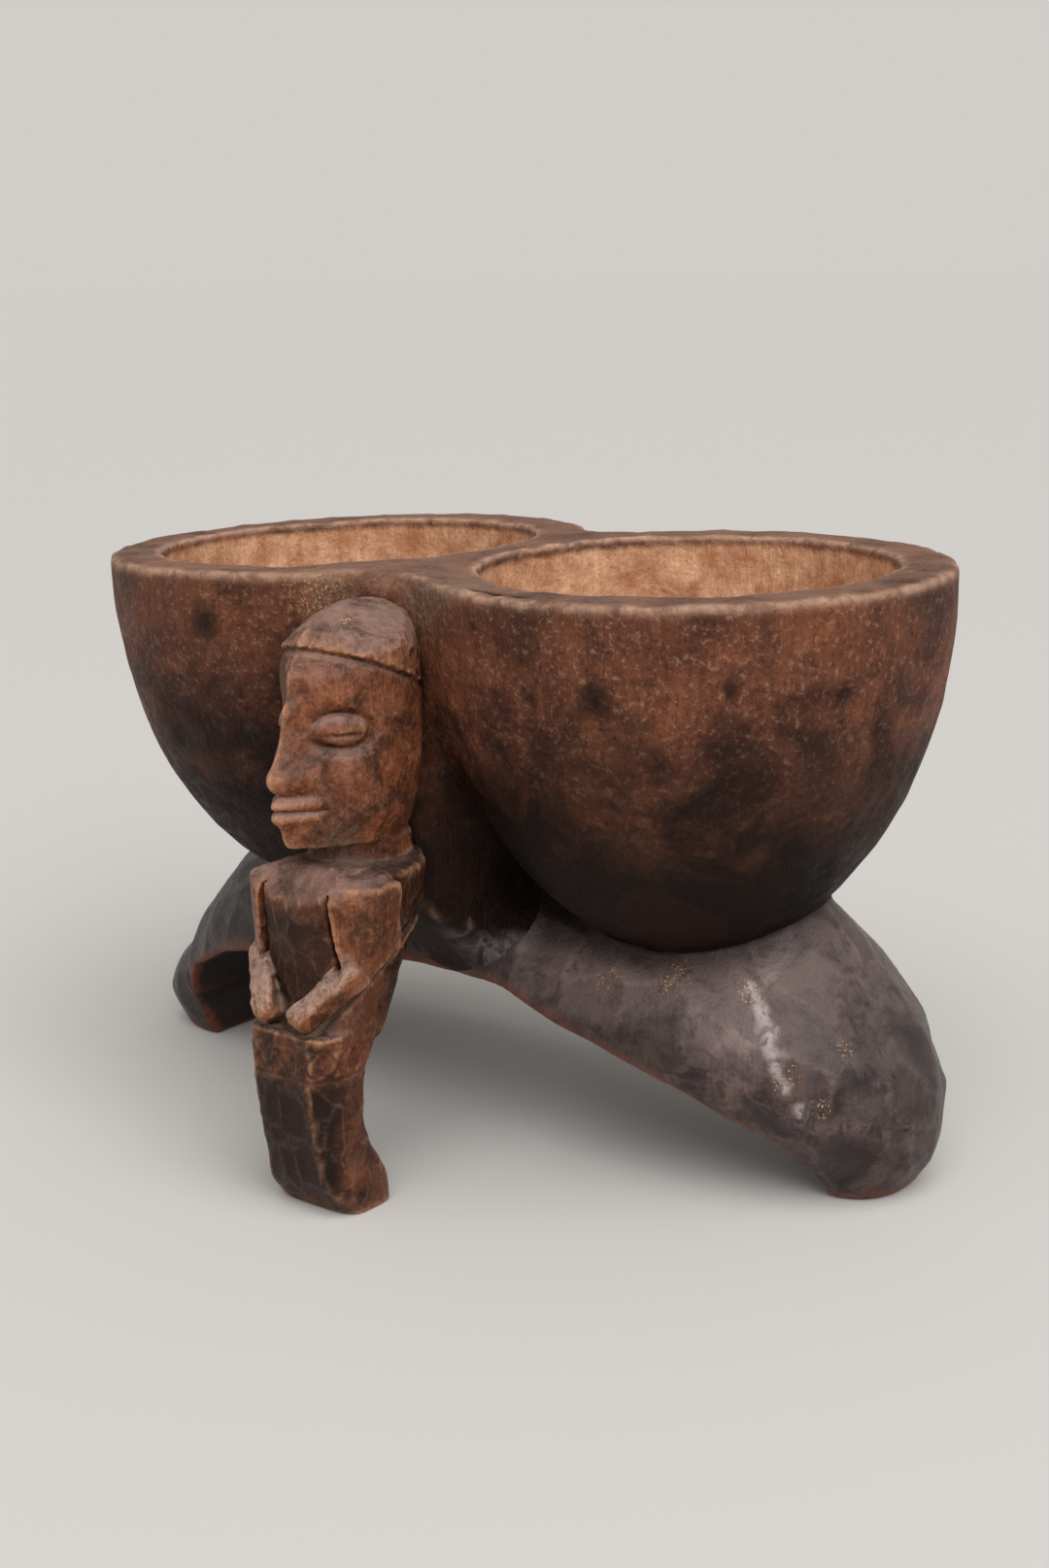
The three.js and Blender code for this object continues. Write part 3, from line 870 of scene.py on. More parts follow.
@dataclass
class FigureMember(Member):
    """A member of the figure. The figure's upright sizes are shared by all of them."""

    ridge: float = 9.0
    sink: float = 1.6

    def heights(self) -> tuple[float, float, float, float]:
        """Works out the hip, the shoulder, the chin and the crown from the nodes' boxes.

        Returns:
            Those four heights in millimetres.
        """
        hip = self.datum.box("figure_torso")[0][2]
        shoulder = self.datum.box("figure_torso")[1][2]
        crown = self.datum.box("figure_cap")[1][2]
        return hip, shoulder, shoulder + 3.5, crown

    def front(self) -> float:
        """The plane that the chest and the face are laid out from."""
        return self.datum.box("figure_torso")[0][1] + 5.0

    def back(self) -> float:
        """How far back the figure's members run into the spine."""
        return self.datum.box("spine")[0][1] + 0.5 + self.sink

    def torso_half(self) -> float:
        """Half the width of the chest."""
        return self.datum.box("figure_lower_body")[1][0] + 0.2

    def head_half(self) -> float:
        """Half the width of the head."""
        return self.datum.box("figure_head")[1][0]

    def shoulder_line(self, x: Array, z: Array) -> Array:
        """How far a place lies above the shoulders, which slope down to either side."""
        shoulder = self.heights()[1]
        return (z - shoulder + 0.32 * np.maximum(np.abs(x) - 6, 0)) * 0.95

    def collar(self, y: Array, z: Array) -> Array:
        """How far a place lies above the slope that is cut down from the neck over the chest."""
        return (z - self.heights()[1]) * 0.72 - (y - self.front() - 5.2) * 0.69

    def arm_slot(self, x: Array, y: Array, z: Array) -> Array:
        """The narrow slots that part the arms from the chest.

        Args:
            x, y, z: coordinates in millimetres.

        Returns:
            The slots' field, negative inside them.
        """
        drop = self.heights()[1] - z
        half = 0.35 + 0.03 * np.clip(drop - 4, 0, 16)
        across = np.abs(np.abs(x) - 8.6 - 0.08 * drop) - half
        return np.maximum(np.maximum(across, y - self.front() - 3.4), np.abs(drop - 12.2) - 8.0)

    def below_arm(self, x: Array, y: Array, z: Array) -> Array:
        """How far a place lies below the straight cuts that run from the elbows down to the hands.

        Args:
            x, y, z: coordinates in millimetres.

        Returns:
            The distance in millimetres, negative above the cuts.
        """
        elbow = (self.datum.box("figure_arm_left")[1][0], self.front() + 14, self.heights()[0] + 19)
        out, back, down = 0.37, 0.49, 0.79
        return out * (np.abs(x) - elbow[0]) + back * (y - elbow[1]) - down * (z - elbow[2])


@dataclass
class LowerBody(FigureMember):
    """Hips, bent knees and one foot in a single post, with an incised belt above the knees."""

    line: float = 0.55
    groove: float = 0.3
    hoop_drops: tuple[float, float] = (0.6, 7.0)
    cross: float = 6.4
    crosses: int = 9

    def form(self, x: Array, y: Array, z: Array, step: float) -> Array:
        """The post, chamfered down its front corners, with the belt's crossed lines cut in.

        Args:
            x, y, z: coordinates in millimetres.
            step: the grid's step.

        Returns:
            The distance field.
        """
        hip, _, _, _ = self.heights()
        low, high = self.datum.box("figure_lower_body")
        knee_front, foot_back = low[1], high[1]
        half = high[0]
        knee = hip - 10
        sections = [
            Section(0.0, knee_front + 8, foot_back - 0.8, half - 0.8, 4.2),
            Section(7.0, knee_front + 3.5, foot_back - 2.2, half - 0.2, 5.0),
            Section(knee * 0.6, knee_front + 1.5, foot_back - 6.8, half - 1.0, 5.5),
            Section(knee, knee_front, foot_back - 7.6, half - 0.4, 5.5),
            Section(hip + 3, knee_front + 1, foot_back - 0.4, half, 4.5),
        ]
        post = as_distance(loft(sections, x, y, z), step)
        chamfer = np.abs(x) * 0.8 - (y - knee_front - 5.0 - 0.12 * (knee - z)) * 0.6 - half * 0.76
        post = trim(post, chamfer, 0.5)
        post = trim(trim(post, -z, 0.9), z - hip - 2.0, 0.5)
        return post + self.groove * self.belt(hip, half, knee_front, x, y, z)

    def soot_and_shade(self, x: Array, y: Array, z: Array) -> Array:
        """Painted shade on the front faces of the knees and the shins, which face away from the light."""
        front = self.datum.box("figure_lower_body")[0][1]
        return (0.45 + 0.53 * np.clip((front + 7.5 - y) / 3, 0, 1)) * np.clip((33 - z) / 4, 0.55, 1)

    def belt(self, hip: float, half: float, front: float, x: Array, y: Array, z: Array) -> Array:
        """Lays a row of crossed strokes between two hoops around the hips.

        Args:
            hip: the height of the hips.
            half: half the width of the post.
            front: the post's front face.
            x, y, z: coordinates in millimetres.

        Returns:
            How deep each place lies in a stroke, from 0 to 1.
        """
        around = np.clip(x, -half, half) + np.sign(x) * np.maximum(y - front - 4, 0)
        top, bottom = (hip - drop for drop in self.hoop_drops)
        reach, gap = self.crosses / 2 * self.cross, 0.5
        depth = stroke((-reach, top), (reach, top), self.line, around, z)
        depth = np.maximum(depth, stroke((-reach, bottom), (reach, bottom), self.line, around, z))
        for number in range(self.crosses):
            left = (number - self.crosses / 2) * self.cross
            for low, high in ((bottom, top), (top, bottom)):
                mark = stroke((left + gap, low), (left + self.cross - gap, high), self.line, around, z)
                depth = np.maximum(depth, mark)
        return depth


@dataclass
class Torso(FigureMember):
    """The chest and the belly, with a sloping collar cut across the top of the chest."""

    def form(self, x: Array, y: Array, z: Array, step: float) -> Array:
        """The trunk, its collar planes and the slots beside the chest.

        Args:
            x, y, z: coordinates in millimetres.
            step: the grid's step.

        Returns:
            The distance field.
        """
        hip, shoulder, _, _ = self.heights()
        front, back, half = self.front(), self.back(), self.torso_half()
        sections = [
            Section(hip - 1.5, front - 5, back - 14.5, half - 0.3, 3.4),
            Section(hip + 7, front - 1.5, back - 10, half + 0.4, 3.0, 1.0),
            Section(hip + 16, front - 0.6, back - 5, half + 1.0, 3.0, 1.0),
            Section(shoulder - 10, front - 1.8, back, half + 1.8, 3.0, 1.6),
            Section(shoulder - 3, front - 1.8, back, half + 2.2, 3.2, 1.6),
            Section(shoulder + 1, front + 0.5, back, half + 2.2, 3.2, 1.0),
        ]
        trunk = as_distance(loft(sections, x, y, z), step)
        trunk = trim(trunk, self.collar(y, z), 0.8)
        trunk = trim(trunk, self.shoulder_line(x, z), 1.0)
        trunk = trim(trunk, -self.arm_slot(x, y, z), 0.6)
        groove = np.clip(1 - np.abs(self.below_arm(x, y, z) - 0.7) / 1.5, 0, 1)
        trunk = trunk + 1.5 * groove * np.clip((np.abs(x) - 5) / 3, 0, 1) * (z > hip + 2)
        return trim(trunk, hip - z - 1.0, 0.3)

    def soot_and_shade(self, x: Array, y: Array, z: Array) -> Array:
        """Painted shade: the chest under the head, the flanks and the back towards the spine are darker than
        what stands out, with a painted shadow black right under the arms.

        Args:
            x, y, z: coordinates in millimetres.

        Returns:
            How dark a place is, from 0 to 1.
        """
        depth = y - self.front()
        chest = 0.85 * np.clip((6 - depth) / 4, 0, 1) * np.clip((12 - np.abs(x)) / 3, 0, 1)
        chest = chest * np.clip((self.heights()[1] - z - 2) / 9, 0.1, 1)
        low = self.below_arm(x, y, z)
        flank = np.clip((low + 1) / 1.5, 0, 1) * np.clip(1.0 - low / 5, 0.45, 1)
        flank = flank * np.clip((np.abs(x) - 4) / 3, 0, 1)
        return np.maximum(np.maximum(chest, flank), 0.82 * np.clip((depth - 11) / 4, 0, 1))


@dataclass
class ArmPiece(FigureMember):
    """A flat upper arm and a forearm that comes forward, so that the hands meet on the belly.

    The upper arm stands a little proud of the flank. Its back edge drops straight to the elbow, and
    from there a cut runs forward and down under the forearm to the hand.
    """

    side: int = 1
    inner: float = 8.6
    back_edge: float = 15.2
    elbow_rise: float = 19.5
    forearm: tuple[float, float] = (3.0, 3.3)
    finger_gap: float = 1.35

    def form(self, x: Array, y: Array, z: Array, step: float) -> Array:
        """The upper arm, the forearm with its flat top and the hand.

        Args:
            x, y, z: coordinates in millimetres.
            step: the grid's step.

        Returns:
            The distance field.
        """
        hip, shoulder, _, _ = self.heights()
        front = self.front()
        outer = self.datum.box("figure_arm_left")[1][0]
        elbow_z = hip + self.elbow_rise
        sections = [
            Section(hip + 4, front - 0.2, front + 30, outer - 0.8, 3.4),
            Section(elbow_z - 3, front - 0.4, front + 31, outer, 3.4),
            Section(shoulder - 6, front - 0.9, front + 32, outer, 3.6),
            Section(shoulder, front - 0.6, front + 32, outer - 0.4, 3.6),
        ]
        arm = as_distance(loft(sections, x, y, z), step)
        arm = trim(arm, self.shoulder_line(x, z), 1.0)
        arm = trim(arm, self.collar(y, z), 0.8)
        lean = 0.12 * (shoulder - z)
        arm = trim(arm, self.inner + 0.7 * lean - self.side * x, 0.8)
        arm = trim(arm, y - front - self.back_edge + 0.7 * lean, 0.9)
        arm = trim(arm, self.below_arm(x, y, z), 0.6)
        start = np.array((self.side * 13.4, front + 5.0, elbow_z - 4.0))
        end = np.array((self.side * 3.6, front - 5.4, hip + 4.2))
        top = (self.side * 0.3, -0.35, 0.9)
        fore = bar(start, end, self.forearm, top, x, y, z)
        course = (end - start) / np.linalg.norm(end - start)
        across = np.cross(course, top)
        for number in (-1, 0, 1):
            tip = end + across * number * self.finger_gap + np.array(top) * self.forearm[1] * 0.8
            line = rod(tip - course * 3.5, tip + course * 2.0, 0.0, x, y, z)
            fore = fore + 0.5 * np.clip(1 - line / 0.8, 0, 1)
        arm = blend(arm, fore, 0.8)
        arm = trim(arm, -self.arm_slot(x, y, z), 0.4)
        return trim(arm, 0.55 - self.side * x, 0.8)

    def soot_and_shade(self, x: Array, y: Array, z: Array) -> Array:
        """Painted shade: the arm's side is darker than its front, and its back edge is the darkest."""
        side = 0.3 * np.clip((y - self.front() - 3) / 4, 0, 1)
        return side + 0.3 * np.clip((y - self.front() - self.back_edge + 3) / 3, 0, 1)

    def highlight_and_polish(self, x: Array, y: Array, z: Array) -> Array:
        """The top of the forearm is painted pale, a painted highlight where it faces the light.

        Args:
            x, y, z: coordinates in millimetres.

        Returns:
            The share of the painted highlight, from 0 to 1.
        """
        front = self.front()
        above = z - self.heights()[0] - 4.2 - 1.09 * (y - front + 5.4)
        top = np.clip((above - 2.2) / 1.5, 0, 1) * np.clip((8 - above) / 2, 0, 1)
        return 0.4 * top * np.clip((front + 3 - y) / 2, 0, 1)


@dataclass
class Head(FigureMember):
    """The head and the neck: two cheek planes that meet in a ridge, and a calm, even face.

    The eyes are halfway up the head, the nose ends a quarter of the way up and the mouth a sixth.
    """

    eye_share: float = 0.5
    nose_share: float = 0.25
    mouth_share: float = 0.18
    cap_front: float = 8.6
    cap_back: float = 17.5
    cap_arch: float = 2.6
    socket: Point = (7.4, 2.6, 4.8)
    eyeball: Point = (6.0, 2.7, 3.3)
    lid_half: float = 5.4

    def cap_edge(self, y: Array, z: Array) -> Array:
        """How far a place lies above the cap's edge, which arches and drops towards the back.

        Args:
            y: coordinates along Y.
            z: coordinates along Z.

        Returns:
            The distance in millimetres, negative below the edge.
        """
        _, _, _, crown = self.heights()
        front = self.front()
        run = self.back() - self.sink - front
        fall = (self.cap_back - self.cap_front) / run
        share = np.clip((y - front) / run, 0, 1)
        arch = self.cap_arch * np.sin(math.pi * share ** 0.5)
        return (z - crown + self.cap_front + fall * (y - front) - arch) / math.hypot(1, fall)

    def form(self, x: Array, y: Array, z: Array, step: float) -> Array:
        """The skull's planes, then the brow, eyes, nose and lips, up to the cap's edge.

        Args:
            x, y, z: coordinates in millimetres.
            step: the grid's step.

        Returns:
            The distance field.
        """
        _, shoulder, chin, crown = self.heights()
        front, back, half, ridge = self.front(), self.back(), self.head_half(), self.ridge
        tall = crown - chin
        sections = [
            Section(shoulder - 4, front + 9, back, half - 4, 2.6, 2.0),
            Section(chin - 1, front + 8, back, half - 4, 2.6, 3.0),
            Section(chin + 1, front - 0.8, back, half - 4, 2.4, ridge - 1),
            Section(chin + tall * 0.14, front - 2, back, half - 1.6, 2.8, ridge + 1),
            Section(chin + tall * 0.32, front, back, half - 0.3, 3.2, ridge),
            Section(chin + tall * 0.5, front + 1.5, back, half, 3.4, ridge),
            Section(chin + tall * 0.68, front + 1.5, back, half, 3.4, ridge),
            Section(chin + tall * 0.82, front + 4, back, half - 0.4, 3.0, ridge - 1),
            Section(crown - 4, front + 9.5, back, half - 2, 2.4, ridge - 1),
        ]
        skull = as_distance(loft(sections, x, y, z), step)
        skull = self.eyes(skull, x, y, z, front, chin + tall * self.eye_share)
        skull = self.nose(skull, x, y, z, step, front, chin + tall * self.nose_share)
        skull = self.mouth(skull, x, y, z, step, front, chin + tall * self.mouth_share)
        groove = np.clip(1 - np.abs(self.cap_edge(y, z) + 0.5) / 0.9, 0, 1)
        skull = skull + 0.7 * groove
        return trim(trim(skull, self.cap_edge(y, z) - 1.5, 0.4), shoulder - 3 - z, 0.4)

    def eyes(self, skull: Array, x: Array, y: Array, z: Array,
             front: float, level: float) -> Array:
        """Cuts each socket, sets the lidded eye in it and draws the closed lid's line.

        Args:
            skull: the head's field so far.
            x, y, z: coordinates in millimetres.
            front: where the face's front lies along Y.
            level: the height of the eyes.

        Returns:
            The head's field.
        """
        slant = math.sqrt(0.5)
        for side in (1, -1):
            turn = side * math.pi / 4

            def at(inset: float) -> Point:
                """A place on the cheek plane, sunk in by the inset."""
                depth = inset * slant
                return side * (7.4 - depth), front + 8.4 + depth, level

            skull = trim(skull, -ellipsoid(at(-0.9), self.socket, x, y, z, turn), 0.9)
            skull = blend(skull, ellipsoid(at(1.0), self.eyeball, x, y, z, turn), 0.5)
            reach = self.lid_half * slant
            inner = (side * (8.9 - reach), front + 6.9 - reach + 0.9, level - 0.9)
            outer = (side * (8.4 + reach), front + 7.4 + reach + 0.9, level - 0.9)
            skull = trim(skull, -rod(inner, outer, 0.35, x, y, z), 0.3)
        return skull

    def nose(self, skull: Array, x: Array, y: Array, z: Array, step: float,
             front: float, base: float) -> Array:
        """Adds a straight nose that broadens to its wings.

        Args:
            skull: the head's field so far.
            x, y, z: coordinates in millimetres.
            step: the grid's step.
            front: where the face's front lies along Y.
            base: the height of the nose's lower end.

        Returns:
            The head's field.
        """
        back = front + 12
        sections = [
            Section(base - 0.4, front - 3.0, back, 4.4, 2.6, 3.2),
            Section(base + 3, front - 5.4, back, 4.8, 2.6, 3.6),
            Section(base + 7.5, front - 2.8, back, 3.2, 2.6, 2.6),
            Section(base + 14, front - 0.6, back, 2.4, 2.6, 2.0),
            Section(base + 19, front - 0.4, back, 2.6, 2.6, 2.0),
        ]
        nose = as_distance(loft(sections, x, y, z), step)
        nose = trim(trim(nose, base - z, 1.4), z - base - 18, 2.0)
        return blend(skull, nose, 1.6)

    def mouth(self, skull: Array, x: Array, y: Array, z: Array, step: float,
              front: float, line: float) -> Array:
        """Adds full lips about a closed line.

        Args:
            skull: the head's field so far.
            x, y, z: coordinates in millimetres.
            step: the grid's step.
            front: where the face's front lies along Y.
            line: the height of the closed line.

        Returns:
            The head's field.
        """
        back = front + 10
        for low, high in ((line - 1.2, line + 3.8), (line - 4.0, line + 1.2)):
            sections = [
                Section(low, front - 2.4, back, 5.4, 2.2, 5.0),
                Section((low + high) / 2, front - 4.5, back, 6.6, 2.2, 5.2),
                Section(high, front - 2.4, back, 5.4, 2.2, 5.0),
            ]
            lip = as_distance(loft(sections, x, y, z), step)
            lip = trim(trim(lip, low - z, 2.6), z - high, 2.6)
            skull = blend(skull, lip, 1.0)
        bow = 0.25 * np.cos(np.clip(x, -7, 7) * math.pi / 4.5)
        closed = np.clip(1 - np.abs(z - line - bow) / 0.5, 0, 1) * np.clip((7.2 - np.abs(x)) / 1.5, 0, 1)
        return skull + 0.55 * closed * (y < front + 6)


@dataclass
class Cap(Head):
    """The close cap: an egg-shaped crown that stands out a little over the temples.

    It slopes back from the forehead, narrow in front and broad behind.
    """

    overhang: float = 1.2

    def form(self, x: Array, y: Array, z: Array, step: float) -> Array:
        """The crown down to its edge, which is left sharp over the groove.

        Args:
            x, y, z: coordinates in millimetres.
            step: the grid's step.

        Returns:
            The distance field.
        """
        _, _, _, crown = self.heights()
        wide = self.head_half() + self.overhang
        front = self.front() + 5 - self.overhang
        back = self.back()
        low = crown - self.cap_back
        rise, ridge = self.cap_back, self.ridge
        sections = [
            Section(low - 4, front - 1.8, back, wide, 3.0, ridge - 2),
            Section(low + rise * 0.4, front - 1.3, back, wide, 2.8, ridge - 1.5),
            Section(low + rise * 0.58, front, back, wide - 0.6, 2.6, ridge),
            Section(low + rise * 0.73, front + 2.8, back, wide - 2.2, 2.4, ridge + 1),
            Section(low + rise * 0.87, front + 7.0, back, wide - 4.8, 2.2, ridge),
            Section(crown, front + 13.5, back - 1, wide - 8.5, 2.1, 3.0),
        ]
        dome = as_distance(loft(sections, x, y, z), step)
        dome = dome + 0.5 * undulation(x, y, z, wave=9.0, seed=83)
        top = z - crown + 0.4 + (x * x + 0.4 * (y - front - 20) ** 2) / 60
        return trim(trim(dome, top, 2.5), -self.cap_edge(y, z), 0.5)

    def rubbed(self, x: Array, y: Array, z: Array) -> Array:
        """Hands have worn the cap along its edge and over its brow."""
        edge = 0.75 * np.clip(1.2 - self.cap_edge(y, z) / 3.5, 0, 1)
        return edge * np.clip(undulation(x, y, z, wave=9.0, seed=87) * 1.8 - 0.3, 0, 1)


# Carving: members into one block, and the block into meshes


@dataclass
class CarvedMesh:
    """A meshed member: corners in millimetres, four-sided faces and what the surface knows."""

    corners: Array
    faces: Array
    known: dict[str, Array]


class Carving:
    """A block in which several members are blended and then meshed one by one."""

    def __init__(self, members: list[Member], step: float, fillets: dict[frozenset[str], float]) -> None:
        """Lays the members out on one grid.

        Args:
            members: the members of this block.
            step: the grid's step in millimetres.
            fillets: how wide the fillet is between the members of a pair, named by name.
        """
        boxes = [m.reach() for m in members]
        low = np.min([b[0] for b in boxes], axis=0)
        # The soles are flat on the ground, so the grid stops just under it.
        low[2] = max(low[2], -1.0)
        high = np.max([b[1] for b in boxes], axis=0)
        self.grid = Grid.around(low, high, step)
        self.members = members
        self.hollows = self.lay_hollows()
        self.fields = {m.name: m.on_grid(self.grid) for m in members}
        inner_round, top_round = 1.3, 0.8
        self.block = trim(self.join(fillets), -self.hollows, inner_round)
        whole = tuple(slice(0, count) for count in self.grid.shape)
        self.block = trim(self.block, self.over_rims(*self.grid.axes(whole)), top_round)
        self.take_cuts()
        solid = np.clip(0.5 - self.block / (2 * step), 0, 1)
        self.near, self.wide, self.far = (soften(solid, max(1, round(v / step))) for v in SOFTENED)

    def join(self, fillets: dict[frozenset[str], float]) -> Array:
        """Blends the members pair by pair, with each pair's own fillet.

        Args:
            fillets: the width of the fillet for each pair of names.

        Returns:
            The block's field.
        """
        block = np.min(list(self.fields.values()), axis=0)
        for pair, reach in fillets.items():
            a, b = (self.fields[name] for name in pair)
            block = np.minimum(block, blend(a, b, reach))
        return block

    def over_rims(self, x: Array, y: Array, z: Array) -> Array:
        """How far a place lies above the rim of the bowl on its side.

        Args:
            x, y, z: coordinates in millimetres.

        Returns:
            The height in millimetres, far below zero in a block that has no bowls.
        """
        over = np.full(np.broadcast(x, y, z).shape, -FAR)
        for member in self.members:
            if isinstance(member, Bowl):
                over = np.where(member.side * x >= 0, member.above_rim(x, y, z), over)
        return over

    def take_cuts(self) -> None:
        """Takes each member's adze cuts off the surface, leaving the ridges between them."""
        owner = np.argmin([self.fields[m.name] for m in self.members], axis=0)
        skin = 2.5
        band = np.abs(self.block) < skin
        for number, member in enumerate(self.members):
            here = np.argwhere(band & (owner == number))
            points = here * self.grid.step + np.array(self.grid.low)
            inward, _ = adze_cuts(points, member.cut, CUT_SEED)
            taken = member.cut_depth * inward * member.cut_share(*points.T)
            self.block[here[:, 0], here[:, 1], here[:, 2]] += taken

    def lay_hollows(self) -> Array:
        """Joins the fields of the bowls' hollows, which are negative where the wine goes.

        Returns:
            The field, far above zero in a block that has no bowls.
        """
        hollows = np.full(self.grid.shape, FAR, dtype=np.float32)
        for member in self.members:
            if isinstance(member, Bowl):
                window = self.grid.window(*member.reach())
                found = member.hollow(*self.grid.axes(window), self.grid.step)
                hollows[window] = np.minimum(hollows[window], found)
        return hollows

    def own_field(self, member: Member) -> Array:
        """The block's field inside one member, sinking away where a neighbour takes over.

        Args:
            member: the member to take out of the block.

        Returns:
            Its field over the whole grid.
        """
        others = [f for name, f in self.fields.items() if name != member.name]
        nearest = np.min(others, axis=0) if others else np.full(self.grid.shape, FAR)
        beyond = (self.fields[member.name] - nearest) / 2
        overlap, slope = 1.2, 0.35
        sunk = self.block + slope * np.clip(beyond, 0, 2)
        return np.maximum(sunk, beyond - overlap)

    def mesh(self, member: Member) -> CarvedMesh:
        """Meshes one member and reads what its surface knows.

        Args:
            member: the member to mesh.

        Returns:
            The mesh.
        """
        corners, faces = surface_net(self.own_field(member), self.grid)
        near = self.grid.sample(self.near, corners)
        wide = self.grid.sample(self.wide, corners)
        inward, tone = adze_cuts(corners, member.cut, CUT_SEED)
        place = corners.T
        # The softened block reads a half on a flat face, less on an edge and more in a crease.
        sharp = np.clip((0.46 - near) * 8, 0, 1) * 0.75 + np.clip((0.42 - wide) * 6, 0, 1) * 0.35
        below = np.clip((-self.over_rims(*place) - 0.6) / 3.6, 0, 1)
        hollow = self.grid.sample(self.hollows, corners)
        outside = np.clip((hollow - 2) / 4, 0, 1)
        known = {
            "worn": np.clip(np.maximum(sharp, member.rubbed(*place)), 0, 1),
            "grime": np.clip((near - 0.54) * 6, 0, 1) * 0.5 + np.clip((wide - 0.56) * 5, 0, 1) * 0.5,
            "inside": np.clip((1.8 - hollow) / 1.4, 0, 1) * below,
            # Painted shade: the more enclosed a place is in the widely softened block, the darker it is
            # painted.
            "occlusion_shade": np.clip((self.grid.sample(self.far, corners) - 0.5) * 4, 0, 1) * outside,
            "tone": tone,
            "ridge": np.clip(1 - inward / 0.3, 0, 1) * member.cut_share(*place),
            # Dirt in the cracks, and painted shade that each member lays where light does not reach.
            "soot_and_shade": member.soot_and_shade(*place),
            # Pale polish, and painted highlights on the legs' ridges and the forearms.
            "highlight_and_polish": member.highlight_and_polish(*place),
        }
        return CarvedMesh(corners, faces, known)


def surface_net(field: Array, grid: Grid) -> tuple[Array, Array]:
    """Meshes the surface where a field is zero.

    Args:
        field: negative inside, one value per grid point.
        grid: the field's grid.

    Returns:
        Corners in millimetres, and four-sided faces that point outwards.
    """
    solid = field < 0
    size = np.array(field.shape)
    filled = np.zeros(size - 1, dtype=np.int8)
    spots = list(product((0, 1), repeat=3))
    for i, j, k in spots:
        filled += solid[i:size[0] - 1 + i, j:size[1] - 1 + j, k:size[2] - 1 + k]
    cells = np.argwhere((filled > 0) & (filled < 8))
    number = np.full(size - 1, -1, dtype=np.int32)
    number[cells[:, 0], cells[:, 1], cells[:, 2]] = np.arange(len(cells))
    values = {s: field[cells[:, 0] + s[0], cells[:, 1] + s[1], cells[:, 2] + s[2]] for s in spots}
    total = np.zeros((len(cells), 3))
    count = np.zeros(len(cells))
    for a in spots:
        for axis in range(3):
            if a[axis]:
                continue
            b = tuple(1 if i == axis else v for i, v in enumerate(a))
            crossed = (values[a] < 0) != (values[b] < 0)
            gap = np.where(crossed, values[a] - values[b], 1.0)
            place = np.tile(np.array(a, dtype=float), (len(cells), 1))
            place[:, axis] = np.where(crossed, values[a] / gap, 0)
            total += place * crossed[:, None]
            count += crossed
    corners = (cells + total / count[:, None]) * grid.step + np.array(grid.low)
    corners = settle(corners, field, grid)
    faces = []
    for axis in range(3):
        u, v = (axis + 1) % 3, (axis + 2) % 3
        ahead = np.take(solid, range(1, size[axis]), axis)
        here = np.take(solid, range(size[axis] - 1), axis)
        edges = np.argwhere(ahead != here)
        edges = edges[(edges[:, u] > 0) & (edges[:, v] > 0)]
        edges = edges[(edges[:, u] < size[u] - 1) & (edges[:, v] < size[v] - 1)]
        outward = here[edges[:, 0], edges[:, 1], edges[:, 2]]
        ring = []
        for du, dv in ((1, 1), (0, 1), (0, 0), (1, 0)):
            cell = edges.copy()
            cell[:, u] -= du
            cell[:, v] -= dv
            ring.append(number[cell[:, 0], cell[:, 1], cell[:, 2]])
        quad = np.stack(ring, axis=1)
        faces.append(np.where(outward[:, None], quad, quad[:, ::-1]))
    return corners, np.concatenate(faces)


def settle(corners: Array, field: Array, grid: Grid) -> Array:
    """Moves corners onto the surface along the field's slope.

    Args:
        corners: places near the surface, in millimetres.
        field: the field.
        grid: its grid.

    Returns:
        The places, each moved by up to 0.6 of a step.
    """
    nudge, least_slope, stride = grid.step / 2, 0.2, grid.step * 0.3
    for _ in range(2):
        value = grid.sample(field, corners)
        slopes = []
        for axis in range(3):
            offset = np.zeros(3)
            offset[axis] = nudge
            ahead, behind = grid.sample(field, corners + offset), grid.sample(field, corners - offset)
            slopes.append((ahead - behind) / grid.step)
        slope = np.stack(slopes, axis=1)
        steepness = np.maximum(np.sum(slope * slope, axis=1), least_slope)
        move = -slope * (value / steepness)[:, None]
        length = np.linalg.norm(move, axis=1, keepdims=True)
        corners = corners + move * np.minimum(1, stride / np.maximum(length, 1e-9))
    return corners


# The wood's finishes


def linear(code: str) -> Colour:
    """Turns an sRGB hex colour into the linear colour that shaders take.

    Args:
        code: the colour as #rrggbb.

    Returns:
        Its linear red, green and blue, and a full alpha.
    """
    parts = [int(code[i:i + 2], 16) / 255 for i in (1, 3, 5)]
    made = [v / 12.92 if v <= 0.04045 else ((v + 0.055) / 1.055) ** 2.4 for v in parts]
    return made[0], made[1], made[2], 1.0


def add(tree: Tree, kind: str, settings: dict, inputs: dict | tuple, output: int | str = 0) -> Socket | None:
    """Adds a node with its settings and links.

    Args:
        tree: the tree that gets the node.
        kind: the node's type.
        settings: attribute values by name.
        inputs: values or sockets, in the order of the node's inputs or by an input's name or number.
        output: which output is wanted.

    Returns:
        That output, or nothing for a node that has none.
    """
    made = tree.nodes.new(kind)
    for name, value in settings.items():
        setattr(made, name, value)
    for key, value in inputs.items() if isinstance(inputs, dict) else enumerate(inputs):
        socket = made.inputs[key]
        if isinstance(value, Socket):
            tree.links.new(value, socket)
        else:
            socket.default_value = value
    return made.outputs[output] if len(made.outputs) else None


class Deposit(Enum):
    """How something lies in a patch on the wood."""

    STAIN = "a dark knot or a burn"
    GRAINS = "fine bright grains of dried residue"
    DUST = "pale dust caught among raised fibres"


@dataclass(frozen=True)
class Patch:
    """A small patch of something on the wood, at its own place in millimetres."""

    place: Point
    reach: float
    colour: str
    deposit: Deposit


